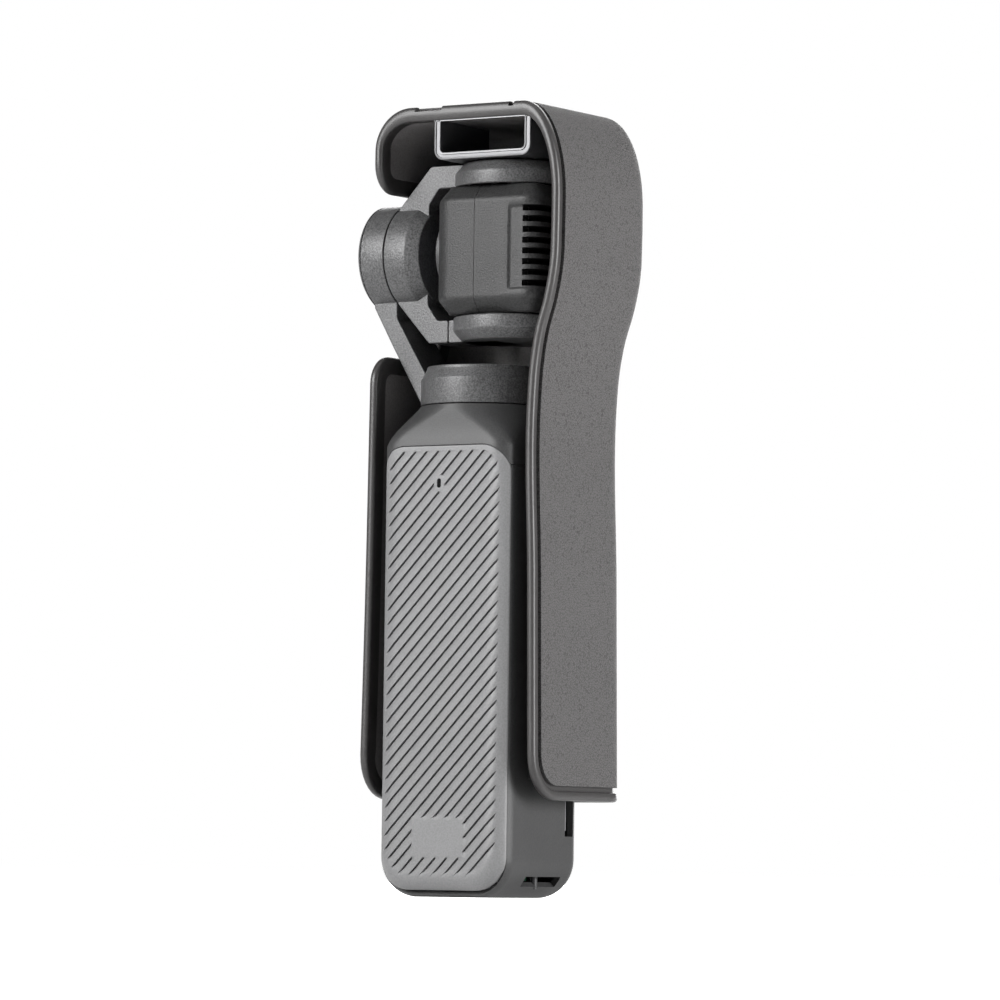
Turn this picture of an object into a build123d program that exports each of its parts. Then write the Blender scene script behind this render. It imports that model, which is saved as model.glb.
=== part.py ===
from build123d import *
from math import atan, cos, degrees, radians, sin
import os

# Pocket gimbal camera standing upright in its cover, in millimetres.
# X is the handle's width, -Y the screen side, +Z up; the base stands on Z = 0.

os.makedirs("parts", exist_ok=True)

# Clearances
seat = 0.05  # between pieces that are fitted together and don't move
part_gap = 0.1  # seam between two case parts
running_fit = 0.02  # radial, at a bearing
air_gap = 0.3  # radial, between a motor's stator and its magnets
free_gap = 0.3  # between pieces that move past each other

# Handle
handle_width = 29.1
handle_depth = 28.1
base_corner = 7.5
handle_edge = 4.0
case_wall = 1.6
part_line = 81.3
shoulder_start = 84.0
neck_top = 93.3
neck_radius = 12.0
grip_thickness = 2.0
front_thickness = 1.2
panel_foot = 1.3
panel_top = 85.3
panel_side_land = 0.35
panel_foot_corner = 6.5
panel_top_corner = 5.2

# Grooves of the grip panel
groove_pitch = 1.85
groove_angle = 46.0
groove_depth = 0.32
groove_ramp = 1.25
groove_margin = 1.0
groove_foot = 4.5
groove_half_field = 12.2
badge_x = (-5.5, 6.0)
badge_z = (7.5, 15.0)
mic_x = 0.84
mic_z = 78.1
mic_width = 0.9
mic_height = 1.8

# Card slot and lanyard slot in the -X side
slot_y = (-10.8, -7.8)
slot_foot = 11.75
card_width = 11.0
card_length = 15.0
card_thickness = 1.0
card_y = -8.4
card_recess = 0.5
card_travel_in = 0.6
socket_wall = 0.4
lanyard_y = (-7.75, 4.6)
lanyard_heights = (2.15, 4.05)
lanyard_depth = 5.0
lanyard_pin_radius = 0.7
lanyard_pin_inset = 2.05
lanyard_pin_bite = 0.4

# Charging receptacle in the base
port_y = -1.5
port_opening_width = 8.34
port_opening_depth = 2.56
port_shell = 0.3
port_length = 7.3
port_recess = 0.6
port_tongue_width = 6.69
port_tongue_thickness = 0.7
port_tongue_length = 4.45
contact_radius = 0.7
contact_x = 6.0
contact_pitch = 2.4

# Inside the handle
chassis_foot = 3.2
chassis_top = 82.0
chassis_plate = 1.2
chassis_rail = 1.0
chassis_rail_y = (-7.0, 9.0)
battery_width = 22.0
battery_thickness = 10.4
battery_height = 60.0
battery_foot = 13.0
board_width = 22.0
board_thickness = 1.0
board_foot = 3.0
board_top = 79.0
board_standoff = 2.0
shield_height = 1.6
spreader_thickness = 0.5
speaker_width = 10.0
speaker_depth = 3.2
speaker_height = 6.0
speaker_x = 2.6
speaker_y = -7.0
mic_capsule = 2.6
mic_capsule_thickness = 1.0
screw_head_radius = 1.3
screw_radius = 0.7
screw_y = 4.0
screw_heights = (34.0, 72.0)

# Controls under the screen
joystick_z = 24.0
record_z = 12.0
joystick_opening = 5.2
switch_height = 0.9
switch_size = 4.0
pivot_depth = 2.05  # pivot of the joystick behind the front face
rocker_outer = 3.9
rocker_inner = 2.9
rocker_thickness = 1.2
rocker_pin = 0.4
rocker_lug = 0.8
cap_radius = 4.5
cap_height = 1.9
cap_lift = 0.3
cap_stem = 0.9
cap_travel = 0.35
button_board_thickness = 0.6
button_board_gap = 2.75  # from the front panel's inner face to the board
button_board_width = 20.0
button_board_foot = 6.5
button_board_top = 31.0
record_radius = 3.2
record_proud = 0.7
record_flange = 0.7
record_travel = 0.4
record_dot_radius = 1.1
record_dot_depth = 0.3
light_x = 8.0
light_radius = 0.7

# Screen
screen_width = 28.0
screen_height = 48.0
screen_corner = 5.0
screen_z = 60.0
screen_gap = 0.25
screen_thickness = 5.15
glass_thickness = 1.0
screen_wall = 0.9
screen_back = 1.1
display_thickness = 2.6
hub_radius = 4.0
bush_radius = 5.2
bush_length = 2.6
clip_radius = 5.0
clip_thickness = 0.5

# Pan motor and pan arm
ring_gap = 0.2
ring_shoulder = 98.4
ring_bevel_top = 100.4
ring_top_radius = 10.9
ring_top = 100.9
ring_wall = 1.3
ring_roof = 1.5
motor_clear = 0.5
pan_stator_height = 4.0
pan_magnet = 1.2
pan_shaft_radius = 1.5
bearing_wall = 1.5
bearing_width = 1.5
post_wall = 1.2
motor_slots = 12
slot_width = 1.2
arm_half_depth = 5.0
arm_outer = ((11.1, 93.6), (17.9, 105.6))
arm_inner = ((11.0, 101.2), (16.8, 110.7))
arm_root = (8.0, 96.4)

# Roll motor
roll_height = 122.6
roll_radius = 10.2
roll_wall = 0.6
roll_seam = 16.95
roll_seam_gap = 0.15
roll_back = 22.1
roll_end = 23.0
roll_end_wall = 1.2
roll_chamfer = 0.8
roll_magnet = 0.85
roll_shaft_radius = 1.2
roll_tube_wall = 1.0

# Fork
hub_radius_outer = 10.1
hub_bevel_x = 12.15
hub_inner_x = 9.55
hub_inner_radius = 8.9
fork_reach = 17.0  # outer faces above and below the roll axis
fork_thickness = 4.3
fork_chamfer_outer = ((9.5, 17.0), (16.8, 9.0))
fork_chamfer_inner = ((7.6, 12.7), (9.8, 9.7))
fork_seam_x = 5.1
tilt_x = -6.77
tilt_cap_inset = 0.3  # caps stand this far inside the head's sides
tilt_cap_bevel = 1.7
tilt_cap_land = 2.55
tilt_gap = 0.2
tilt_cup_wall = 1.2
tilt_cup_floor = 1.0
tilt_magnet = 1.1
tilt_shaft_radius = 1.5
tilt_bearing_wall = 0.8
tilt_bearing_width = 2.0

# Head
head_front = 4.7
head_back = -19.2
head_width = 24.0
tilt_cap_radius = head_width / 2 - tilt_cap_inset
tilt_cap_top_radius = tilt_cap_radius - tilt_cap_bevel
head_boss_radius = 1.7
head_boss_sunk = 0.3  # how far a screw boss reaches into the side wall
head_height = 24.5
head_corner = 4.0
head_bevel_height = 2.8
head_bevel_inset = 2.3
head_wall = 1.4
head_seam_x = -4.95
lens_radius = 7.0
lens_ring_radius = 8.6
lens_ring_proud = 1.2
lens_wall = 1.2
lens_length = 7.9
glass_radius = 6.6
front_glass_thickness = 0.7
vent_count = 8
vent_pitch = 2.03
vent_height = 1.07
vent_top = 129.9
vent_start_x = -15.6
vent_bridge = 3.0
recess_start_x = -12.8
recess_heights = (114.65, 130.45)
recess_depth = 0.35
fin_thickness = 0.8
sensor_size = 15.0
sensor_board_thickness = 1.0

# Cover
cover_wall = 1.7
cover_roof = 2.8
skin_thickness = 0.8
rim_plane = 11.9
cover_foot = 18.4
waist_height = 93.6
cover_waist_half = 18.6
cover_flare = 1.15  # the foot is this much wider than the waist, each side
cover_foot_half = cover_waist_half + cover_flare
swell_steps = ((1.6, 106.8), (3.3, 112.4), (4.6, 119.3))  # beyond the waist, and at which height
swell = [(cover_waist_half + step, height) for step, height in swell_steps]
hood_spring = 132.3
hood_side = cover_waist_half + 4.9
hood_arc_width = 8.5
hood_arc_centre = hood_side - hood_arc_width
cover_top = 150.3
hood_left = cover_waist_half - 0.5
hood_left_corner = 8.0
cover_front = 22.6
hood_front = 23.4
cover_edge = 6.0
wing_foot_corner = 8.5
wing_top = 103.2
wing_corner = 5.5
window_top = 134.3
window_depth = -11.5
band_width = 1.8
band_foot = 1.4
skin_groove = 1.1
notch_x = (3.0, 9.0)
notch_depth = 0.8
latch_z = 78.0
latch_width = 2.0
latch_proud = 0.9
latch_depth = 1.6
stop_x = (-16.8, 4.8)
stop_wall = 1.4
stop_corner = 2.0
stop_back = 11.3
stop_front = -6.0
pad_heights = (22.5, 32.5)
pad_half_depth = 6.0

# Places that follow from these sizes
half_width = handle_width / 2
back_face = handle_depth / 2
front_face = -handle_depth / 2
grip_seam = back_face - grip_thickness
front_seam = front_face + front_thickness
inner_half_width = half_width - case_wall
fork_top = roll_height + fork_reach
fork_foot = roll_height - fork_reach
head_top = roll_height + head_height / 2
head_foot = roll_height - head_height / 2
head_centre = (head_front + head_back) / 2
head_length = head_front - head_back


def facing_front(y):
    """Sketch plane at Y = y whose normal points to the screen side; local x is X and y is Z."""
    return Plane.XZ.offset(-y)


def across(x):
    """Sketch plane at X = x whose normal is +X; local x is Y and y is Z."""
    return Plane.YZ.offset(x)


def level(z):
    """Horizontal sketch plane at Z = z."""
    return Plane.XY.offset(z)


def tower(inset):
    """The handle's form from base to neck, moved inwards by inset."""
    with BuildPart() as form:
        with BuildSketch(Plane.XZ) as face:
            with Locations((0, (shoulder_start + inset) / 2)):
                Rectangle(handle_width - 2 * inset, shoulder_start - inset)
            fillet(face.vertices().group_by(Axis.Y)[0], base_corner - inset)
        extrude(amount=handle_depth / 2 - inset, both=True)
        ends = form.faces().filter_by(Axis.Y).edges()
        fillet(ends.filter_by_position(Axis.Z, -1, shoulder_start - 0.5), handle_edge - inset)
        rise = neck_top - inset - shoulder_start
        for share, blend in ((0.0, 0.0), (0.3, 0.1), (0.7, 0.6), (1.0, 1.0)):
            with BuildSketch(level(shoulder_start + share * rise)):
                RectangleRounded(
                    handle_width * (1 - blend) + 2 * neck_radius * blend - 2 * inset,
                    handle_depth * (1 - blend) + 2 * neck_radius * blend - 2 * inset,
                    handle_edge * (1 - blend) + (neck_radius - 0.02) * blend - inset,
                )
        loft()
    return form.part


def panel_blank(seam, depth, clearance):
    """Block over one panel's outline, from its seam plane outwards by depth along Y."""
    with BuildPart() as blank:
        with BuildSketch(facing_front(seam)) as outline:
            with Locations((0, (panel_foot + panel_top) / 2)):
                Rectangle(
                    handle_width - 2 * panel_side_land - 2 * clearance,
                    panel_top - panel_foot - 2 * clearance,
                )
            fillet(outline.vertices().group_by(Axis.Y)[0], panel_foot_corner)
            fillet(outline.vertices().group_by(Axis.Y)[-1], panel_top_corner)
        extrude(amount=-depth)
    return blank.part


case_outside = tower(0)
case_inside = tower(case_wall)
grip_pocket = panel_blank(grip_seam, 2 * grip_thickness, 0)
grip_blank = panel_blank(grip_seam, 2 * grip_thickness, part_gap)
front_pocket = panel_blank(front_seam, -2 * grip_thickness, 0)
front_blank = panel_blank(front_seam, -2 * grip_thickness, part_gap)
front_opening = panel_blank(front_seam, case_wall, case_wall)

# Side frame: one tube that is both sides and the base
slot_width_y = slot_y[1] - slot_y[0]
slot_middle = (slot_y[0] + slot_y[1]) / 2
card_z = slot_foot + 1.1 + card_width / 2
slot_height = card_width + 2.2
lanyard_length = lanyard_y[1] - lanyard_y[0]
lanyard_middle = (lanyard_y[0] + lanyard_y[1]) / 2
lanyard_z = (lanyard_heights[0] + lanyard_heights[1]) / 2
lanyard_pin_x = -half_width + lanyard_depth - lanyard_pin_inset
lanyard_pin_foot = lanyard_heights[0] - lanyard_pin_bite
lanyard_pin_length = lanyard_heights[1] - lanyard_heights[0] + 2 * lanyard_pin_bite
block_end = -half_width + lanyard_depth + 1.0
block_top = lanyard_heights[1] + 1.2
port_width = port_opening_width + 2 * port_shell
port_depth = port_opening_depth + 2 * port_shell
screw_bite = 0.6 * case_wall

with BuildPart() as side_frame:
    add(case_outside)
    add(case_inside, mode=Mode.SUBTRACT)
    with BuildSketch(level(part_line)):
        Rectangle(2 * handle_width, 2 * handle_width)
    extrude(amount=neck_top, mode=Mode.SUBTRACT)
    add(grip_pocket, mode=Mode.SUBTRACT)
    add(front_pocket, mode=Mode.SUBTRACT)
    add(front_opening, mode=Mode.SUBTRACT)
    # Block behind the lanyard slot, its pocket and the pin's hole
    with BuildSketch(facing_front(lanyard_y[1] + 1)):
        with Locations(((block_end - half_width) / 2, block_top / 2)):
            Rectangle(block_end + half_width, block_top)
    extrude(amount=lanyard_length + 2)
    with BuildSketch(facing_front(lanyard_y[1])):
        with Locations((-half_width + lanyard_depth / 2, lanyard_z)):
            Rectangle(lanyard_depth, lanyard_heights[1] - lanyard_heights[0])
    extrude(amount=lanyard_length, mode=Mode.SUBTRACT)
    with BuildSketch(level(lanyard_pin_foot)):
        with Locations((lanyard_pin_x, lanyard_middle)):
            Circle(lanyard_pin_radius + seat)
    extrude(amount=lanyard_pin_length, mode=Mode.SUBTRACT)
    add(case_outside, mode=Mode.INTERSECT)
    # Holes of the chassis screws
    for side in (-1, 1):
        with BuildSketch(across(side * inner_half_width)):
            with Locations(*[(screw_y, height) for height in screw_heights]):
                Circle(screw_radius)
        extrude(amount=side * screw_bite, mode=Mode.SUBTRACT)
    with BuildSketch(across(-half_width - 1)):
        with Locations((slot_middle, slot_foot + slot_height / 2)):
            RectangleRounded(slot_width_y, slot_height, 0.6)
    extrude(amount=case_wall + 2, mode=Mode.SUBTRACT)
    with BuildSketch(Plane.XY):
        with Locations((0, port_y)):
            SlotOverall(port_width + 2 * seat, port_depth + 2 * seat)
        with Locations((0, port_y)):
            with GridLocations(2 * contact_x, contact_pitch, 2, 2):
                Circle(contact_radius + seat)
    extrude(amount=case_wall + 1, mode=Mode.SUBTRACT)
    with BuildSketch(Plane.XY):
        with Locations(*[(speaker_x + dx, speaker_y) for dx in (-2.4, 0, 2.4)]):
            Circle(0.5)
    extrude(amount=case_wall + 1, mode=Mode.SUBTRACT)
side_frame.part.label = "side_frame"
export_step(side_frame.part, "parts/side_frame.step")

# Shoulder housing: from the part line to the neck, with the post that carries the pan motor
bearing_radius = pan_shaft_radius + bearing_wall
post_radius = bearing_radius + post_wall
ring_foot = neck_top + ring_gap
ring_ceiling = ring_top - ring_roof
post_top = ring_ceiling - motor_clear - 0.4
post_foot = neck_top - case_wall - 5.0

with BuildPart() as shoulder_housing:
    add(case_outside)
    add(case_inside, mode=Mode.SUBTRACT)
    with BuildSketch(level(part_line + part_gap)):
        Rectangle(2 * handle_width, 2 * handle_width)
    extrude(amount=-neck_top, mode=Mode.SUBTRACT)
    add(grip_pocket, mode=Mode.SUBTRACT)
    add(front_pocket, mode=Mode.SUBTRACT)
    add(front_opening, mode=Mode.SUBTRACT)
    with BuildSketch(level(post_foot)):
        Circle(post_radius)
    extrude(amount=post_top - post_foot)
    with BuildSketch(level(post_foot)):
        Circle(bearing_radius)
    extrude(amount=post_top - post_foot, mode=Mode.SUBTRACT)
shoulder_housing.part.label = "shoulder_housing"
export_step(shoulder_housing.part, "parts/shoulder_housing.step")

# Grip panel: sawtooth grooves that climb towards -X, as seen from behind
groove_count = int((panel_top + handle_width) / groove_pitch) + 2
climb = Plane(
    origin=(half_width, back_face, panel_foot),
    x_dir=(sin(radians(groove_angle)), 0, cos(radians(groove_angle))),
    z_dir=(-cos(radians(groove_angle)), 0, sin(radians(groove_angle))),
)

with BuildPart() as groove_cutters:
    with BuildSketch(climb):
        for number in range(-groove_count // 2, groove_count):
            start = number * groove_pitch
            with BuildLine():
                Polyline(
                    (start, groove_depth),
                    (start, -groove_depth),
                    (start - groove_ramp, groove_depth),
                    close=True,
                )
            make_face()
    extrude(amount=3 * panel_top, both=True)
    with BuildSketch(facing_front(back_face + 1)) as field:
        with Locations((0, (groove_foot + panel_top - groove_margin) / 2)):
            Rectangle(2 * groove_half_field, panel_top - groove_margin - groove_foot)
        fillet(field.vertices().group_by(Axis.Y)[-1], panel_top_corner - groove_margin)
        fillet(field.vertices().group_by(Axis.Y)[0], panel_foot_corner - groove_margin)
        with Locations(((badge_x[0] + badge_x[1]) / 2, (badge_z[0] + badge_z[1]) / 2)):
            Rectangle(badge_x[1] - badge_x[0], badge_z[1] - badge_z[0], mode=Mode.SUBTRACT)
        with Locations((mic_x, mic_z)):
            SlotOverall(mic_height + 1.4, mic_width + 1.4, rotation=90, mode=Mode.SUBTRACT)
    extrude(amount=2, mode=Mode.INTERSECT)

with BuildPart() as grip_panel:
    add(case_outside)
    add(grip_blank, mode=Mode.INTERSECT)
    add(groove_cutters.part, mode=Mode.SUBTRACT)
    with BuildSketch(facing_front(back_face)):
        with Locations((mic_x, mic_z)):
            SlotOverall(mic_height, mic_width, rotation=90)
    extrude(amount=grip_thickness, mode=Mode.SUBTRACT)
grip_panel.part.label = "grip_panel"
export_step(grip_panel.part, "parts/grip_panel.step")

# Front panel: behind the screen, with the control openings and posts for the button board
board_face = front_seam + button_board_gap

with BuildPart() as front_panel:
    add(case_outside)
    add(front_blank, mode=Mode.INTERSECT)
    with BuildSketch(facing_front(front_seam)):
        for side in (-1, 1):
            for height in (button_board_foot + 2, button_board_top - 2):
                with Locations((side * (button_board_width / 2 - 2), height)):
                    Circle(1.2)
    extrude(amount=-(button_board_gap - seat))
    with BuildSketch(facing_front(front_face)):
        with Locations((0, joystick_z)):
            Circle(joystick_opening)
        with Locations((0, record_z)):
            Circle(record_radius + 0.15)
        with Locations((light_x, record_z)):
            Circle(light_radius + seat)
        with Locations((0, screen_z)):
            Circle(bush_radius + seat)
        with Locations((-light_x, record_z)):
            Circle(mic_width / 2)
    extrude(amount=-front_thickness, mode=Mode.SUBTRACT)
front_panel.part.label = "front_panel"
export_step(front_panel.part, "parts/front_panel.step")

# Chassis: plate with two side rails, carrying the battery behind and the main board in front
rail_width = inner_half_width - free_gap
battery_y = free_gap + battery_thickness / 2
board_y = -chassis_plate - board_standoff - board_thickness / 2

with BuildPart() as inner_chassis:
    with BuildSketch(level(chassis_foot)):
        with Locations((0, -chassis_plate / 2)):
            Rectangle(2 * rail_width, chassis_plate)
        for side in (-1, 1):
            with Locations((side * (rail_width - chassis_rail / 2), sum(chassis_rail_y) / 2)):
                Rectangle(chassis_rail, chassis_rail_y[1] - chassis_rail_y[0])
    extrude(amount=chassis_top - chassis_foot)
    with BuildSketch(facing_front(chassis_rail_y[1] + 1)) as foot:
        with Locations((0, (chassis_foot + chassis_top) / 2)):
            Rectangle(2 * rail_width, chassis_top - chassis_foot)
        fillet(foot.vertices().group_by(Axis.Y)[0], base_corner - case_wall)
    extrude(amount=chassis_rail_y[1] - chassis_rail_y[0] + 2, mode=Mode.INTERSECT)
    with BuildSketch(facing_front(1)):
        with Locations((0, chassis_foot)):
            Rectangle(port_width + 2, 2 * (port_length + port_recess))
    extrude(amount=chassis_rail_y[1], mode=Mode.SUBTRACT)
    # Clear of the lanyard block
    with BuildSketch(facing_front(chassis_rail_y[1])):
        with Locations((-half_width, chassis_foot)):
            Rectangle(
                2 * (block_end + free_gap + half_width),
                2 * (block_top + free_gap - chassis_foot),
            )
    extrude(amount=2 * chassis_rail_y[1], mode=Mode.SUBTRACT)
    with BuildSketch(facing_front(-chassis_plate)):
        for x in (-7.0, 7.0):
            for z in (board_foot + 18.0, board_top - 4.0):
                with Locations((x, z)):
                    Circle(1.3)
    extrude(amount=board_standoff)
inner_chassis.part.label = "inner_chassis"
export_step(inner_chassis.part, "parts/inner_chassis.step")

# Screws through the side frame's walls into the rails
with BuildPart() as chassis_screws:
    for side in (-1, 1):
        with BuildSketch(across(side * inner_half_width)):
            with Locations(*[(screw_y, height) for height in screw_heights]):
                Circle(screw_head_radius)
        extrude(amount=-side * (free_gap - seat))
        with BuildSketch(across(side * inner_half_width)):
            with Locations(*[(screw_y, height) for height in screw_heights]):
                Circle(screw_radius)
        extrude(amount=side * screw_bite)
chassis_screws.part.label = "chassis_screws"
export_step(chassis_screws.part, "parts/chassis_screws.step")

with BuildPart() as battery_cell:
    with BuildSketch(level(battery_foot)):
        with Locations((0, battery_y)):
            RectangleRounded(battery_width, battery_thickness, 2.0)
    extrude(amount=battery_height)
    fillet(battery_cell.faces().filter_by(Axis.Z).edges(), 0.8)
battery_cell.part.label = "battery_cell"
export_step(battery_cell.part, "parts/battery_cell.step")

# Main board, with two shield cans on its front
board_front = board_y - board_thickness / 2
shield_face = board_front - shield_height
with BuildPart() as main_board:
    with BuildSketch(facing_front(board_front + board_thickness)) as board:
        with Locations((0, (board_foot + board_top) / 2)):
            Rectangle(board_width, board_top - board_foot)
        fillet(board.vertices().group_by(Axis.Y)[0], base_corner - case_wall - 1.5)
        with Locations((-half_width, board_foot)):
            Rectangle(
                2 * (block_end + free_gap + half_width),
                2 * (block_top + free_gap - board_foot),
                mode=Mode.SUBTRACT,
            )
    extrude(amount=board_thickness)
    with BuildSketch(facing_front(board_front)):
        with Locations((0, 40.0)):
            Rectangle(16.0, 18.0)
        with Locations((0, 65.0)):
            Rectangle(17.0, 22.0)
    extrude(amount=shield_height)
    with BuildSketch(facing_front(board_front)):
        with Locations((-6.5, 27.0), (0.5, 27.0), (7.0, 27.0)):
            Rectangle(4.0, 4.0)
    extrude(amount=shield_height / 2)
main_board.part.label = "main_board"
export_step(main_board.part, "parts/main_board.step")

with BuildPart() as heat_spreader:
    with BuildSketch(facing_front(shield_face - seat)):
        with Locations((0, 54.0)):
            RectangleRounded(18.0, 44.0, 2.0)
    extrude(amount=spreader_thickness)
heat_spreader.part.label = "heat_spreader"
export_step(heat_spreader.part, "parts/heat_spreader.step")

# Charging receptacle: metal shell with a contact tongue
with BuildPart() as usb_port:
    with BuildSketch(level(port_recess)):
        with Locations((0, port_y)):
            SlotOverall(port_width, port_depth)
    extrude(amount=port_length)
    with BuildSketch(level(port_recess)):
        with Locations((0, port_y)):
            SlotOverall(port_opening_width, port_opening_depth)
    extrude(amount=port_length - 0.8, mode=Mode.SUBTRACT)
    with BuildSketch(level(port_recess + port_length - 0.8)):
        with Locations((0, port_y)):
            Rectangle(port_tongue_width, port_tongue_thickness)
    extrude(amount=-port_tongue_length)
usb_port.part.label = "usb_port"
export_step(usb_port.part, "parts/usb_port.step")

with BuildPart() as base_contacts:
    with BuildSketch(level(0)):
        with Locations((0, port_y)):
            with GridLocations(2 * contact_x, contact_pitch, 2, 2):
                Circle(contact_radius)
    extrude(amount=case_wall + 0.3)
base_contacts.part.label = "base_contacts"
export_step(base_contacts.part, "parts/base_contacts.step")

# Lanyard pin across the slot in the base corner
with BuildPart() as lanyard_pin:
    with BuildSketch(level(lanyard_pin_foot)):
        with Locations((lanyard_pin_x, lanyard_middle)):
            Circle(lanyard_pin_radius)
    extrude(amount=lanyard_pin_length)
lanyard_pin.part.label = "lanyard_pin"
export_step(lanyard_pin.part, "parts/lanyard_pin.step")

# Card and its socket behind the slot
card_outer_end = -half_width + card_recess
card_inner_end = card_outer_end + card_length
socket_mouth = -inner_half_width + 0.5
with BuildPart() as card_socket:
    with BuildSketch(across(socket_mouth)):
        with Locations((card_y, card_z)):
            Rectangle(
                card_thickness + 2 * seat + 2 * socket_wall,
                card_width + 4 * seat + 2 * socket_wall,
            )
    extrude(amount=card_inner_end + card_travel_in + socket_wall + 0.4 - socket_mouth)
    with BuildSketch(across(socket_mouth)):
        with Locations((card_y, card_z)):
            Rectangle(card_thickness + 2 * seat, card_width + 4 * seat)
    extrude(amount=card_inner_end + card_travel_in + 0.4 - socket_mouth, mode=Mode.SUBTRACT)
card_socket.part.label = "card_socket"
export_step(card_socket.part, "parts/card_socket.step")

with BuildPart() as memory_card:
    with BuildSketch(across(card_outer_end)):
        with Locations((card_y, card_z)):
            Rectangle(card_thickness, card_width)
    extrude(amount=card_length)
    chamfer(memory_card.edges().filter_by(Axis.Y).group_by(Axis.X)[-1].sort_by(Axis.Z)[-1], 1.2)
memory_card.part.label = "memory_card"
export_step(memory_card.part, "parts/memory_card.step")

with BuildPart() as speaker:
    with BuildSketch(level(case_wall + seat)):
        with Locations((speaker_x, speaker_y)):
            RectangleRounded(speaker_width, speaker_depth, 0.8)
    extrude(amount=speaker_height)
speaker.part.label = "speaker"
export_step(speaker.part, "parts/speaker.step")

# Microphone capsules behind the holes of the two panels
with BuildPart() as microphones:
    with BuildSketch(facing_front(grip_seam - seat)):
        with Locations((mic_x, mic_z)):
            Rectangle(mic_capsule, mic_capsule)
    extrude(amount=mic_capsule_thickness)
    with BuildSketch(facing_front(front_seam + seat)):
        with Locations((-light_x, record_z)):
            Rectangle(mic_capsule, mic_capsule)
    extrude(amount=-mic_capsule_thickness)
microphones.part.label = "microphones"
export_step(microphones.part, "parts/microphones.step")

with BuildPart() as status_light:
    with BuildSketch(facing_front(front_face)):
        with Locations((light_x, record_z)):
            Circle(light_radius)
    extrude(amount=-(front_thickness + button_board_gap - seat))
status_light.part.label = "status_light"
export_step(status_light.part, "parts/status_light.step")

# Button board on the front panel's posts, with the record switch
with BuildPart() as button_board:
    with BuildSketch(facing_front(board_face)):
        with Locations((0, (button_board_foot + button_board_top) / 2)):
            RectangleRounded(button_board_width, button_board_top - button_board_foot, 1.5)
    extrude(amount=-button_board_thickness)
    with BuildSketch(facing_front(board_face)):
        with Locations((0, record_z)):
            Rectangle(switch_size, switch_size)
    extrude(amount=switch_height)
button_board.part.label = "button_board"
export_step(button_board.part, "parts/button_board.step")

# Joystick: base with two lugs, outer rocker on pins along X, inner rocker on pins along Z, cap
pivot_y = front_face + pivot_depth
lug_inner = rocker_outer + free_gap
base_plate_top = board_face - 0.6
with BuildPart() as joystick_base:
    with BuildSketch(facing_front(board_face - seat)):
        with Locations((0, joystick_z)):
            Circle(joystick_opening - 0.1)
    extrude(amount=board_face - seat - base_plate_top)
    with BuildSketch(facing_front(base_plate_top)):
        for side in (-1, 1):
            with Locations((side * (lug_inner + rocker_lug / 2), joystick_z)):
                Rectangle(rocker_lug, 1.8)
    extrude(amount=base_plate_top - pivot_y + rocker_pin + 0.3)
    with BuildSketch(across(-joystick_opening)):
        with Locations((pivot_y, joystick_z)):
            Circle(rocker_pin + seat)
    extrude(amount=2 * joystick_opening, mode=Mode.SUBTRACT)
joystick_base.part.label = "joystick_base"
export_step(joystick_base.part, "parts/joystick_base.step")

with BuildPart() as outer_rocker:
    with BuildSketch(facing_front(pivot_y)):
        with Locations((0, joystick_z)):
            Circle(rocker_outer)
            Circle(rocker_inner, mode=Mode.SUBTRACT)
    extrude(amount=rocker_thickness / 2, both=True)
    for side in (-1, 1):
        with BuildSketch(across(side * (rocker_outer - 0.3))):
            with Locations((pivot_y, joystick_z)):
                Circle(rocker_pin)
        extrude(amount=side * (lug_inner + rocker_lug - rocker_outer + 0.2))
    with BuildSketch(level(joystick_z - rocker_outer)):
        with Locations((0, pivot_y)):
            Circle(rocker_pin + seat)
    extrude(amount=2 * rocker_outer, mode=Mode.SUBTRACT)
outer_rocker.part.label = "outer_rocker"
export_step(outer_rocker.part, "parts/outer_rocker.step")

with BuildPart() as inner_rocker:
    with BuildSketch(facing_front(pivot_y)):
        with Locations((0, joystick_z)):
            Circle(rocker_inner - 0.5)
    extrude(amount=rocker_thickness / 2, both=True)
    with BuildSketch(level(joystick_z - rocker_outer + 0.2)):
        with Locations((0, pivot_y)):
            Circle(rocker_pin)
    extrude(amount=2 * rocker_outer - 0.4)
    with BuildSketch(facing_front(pivot_y + 1)):
        with Locations((0, joystick_z)):
            Circle(cap_stem + seat)
    extrude(amount=2, mode=Mode.SUBTRACT)
inner_rocker.part.label = "inner_rocker"
export_step(inner_rocker.part, "parts/inner_rocker.step")

cap_underside = front_face - cap_lift
with BuildPart() as joystick_cap:
    with BuildSketch(facing_front(cap_underside)):
        with Locations((0, joystick_z)):
            Circle(cap_radius)
    extrude(amount=cap_height)
    fillet(joystick_cap.faces().sort_by(Axis.Y)[0].edges(), 0.7)
    with BuildSketch(facing_front(cap_underside - cap_height)):
        with Locations((0, joystick_z)):
            Circle(cap_radius - 1.6)
    extrude(amount=-0.35, mode=Mode.SUBTRACT)
    with BuildSketch(facing_front(cap_underside)):
        with Locations((0, joystick_z)):
            Circle(cap_stem)
    extrude(amount=-(base_plate_top - free_gap - cap_travel - cap_underside))
joystick_cap.part.label = "joystick_cap"
export_step(joystick_cap.part, "parts/joystick_cap.step")

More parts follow.
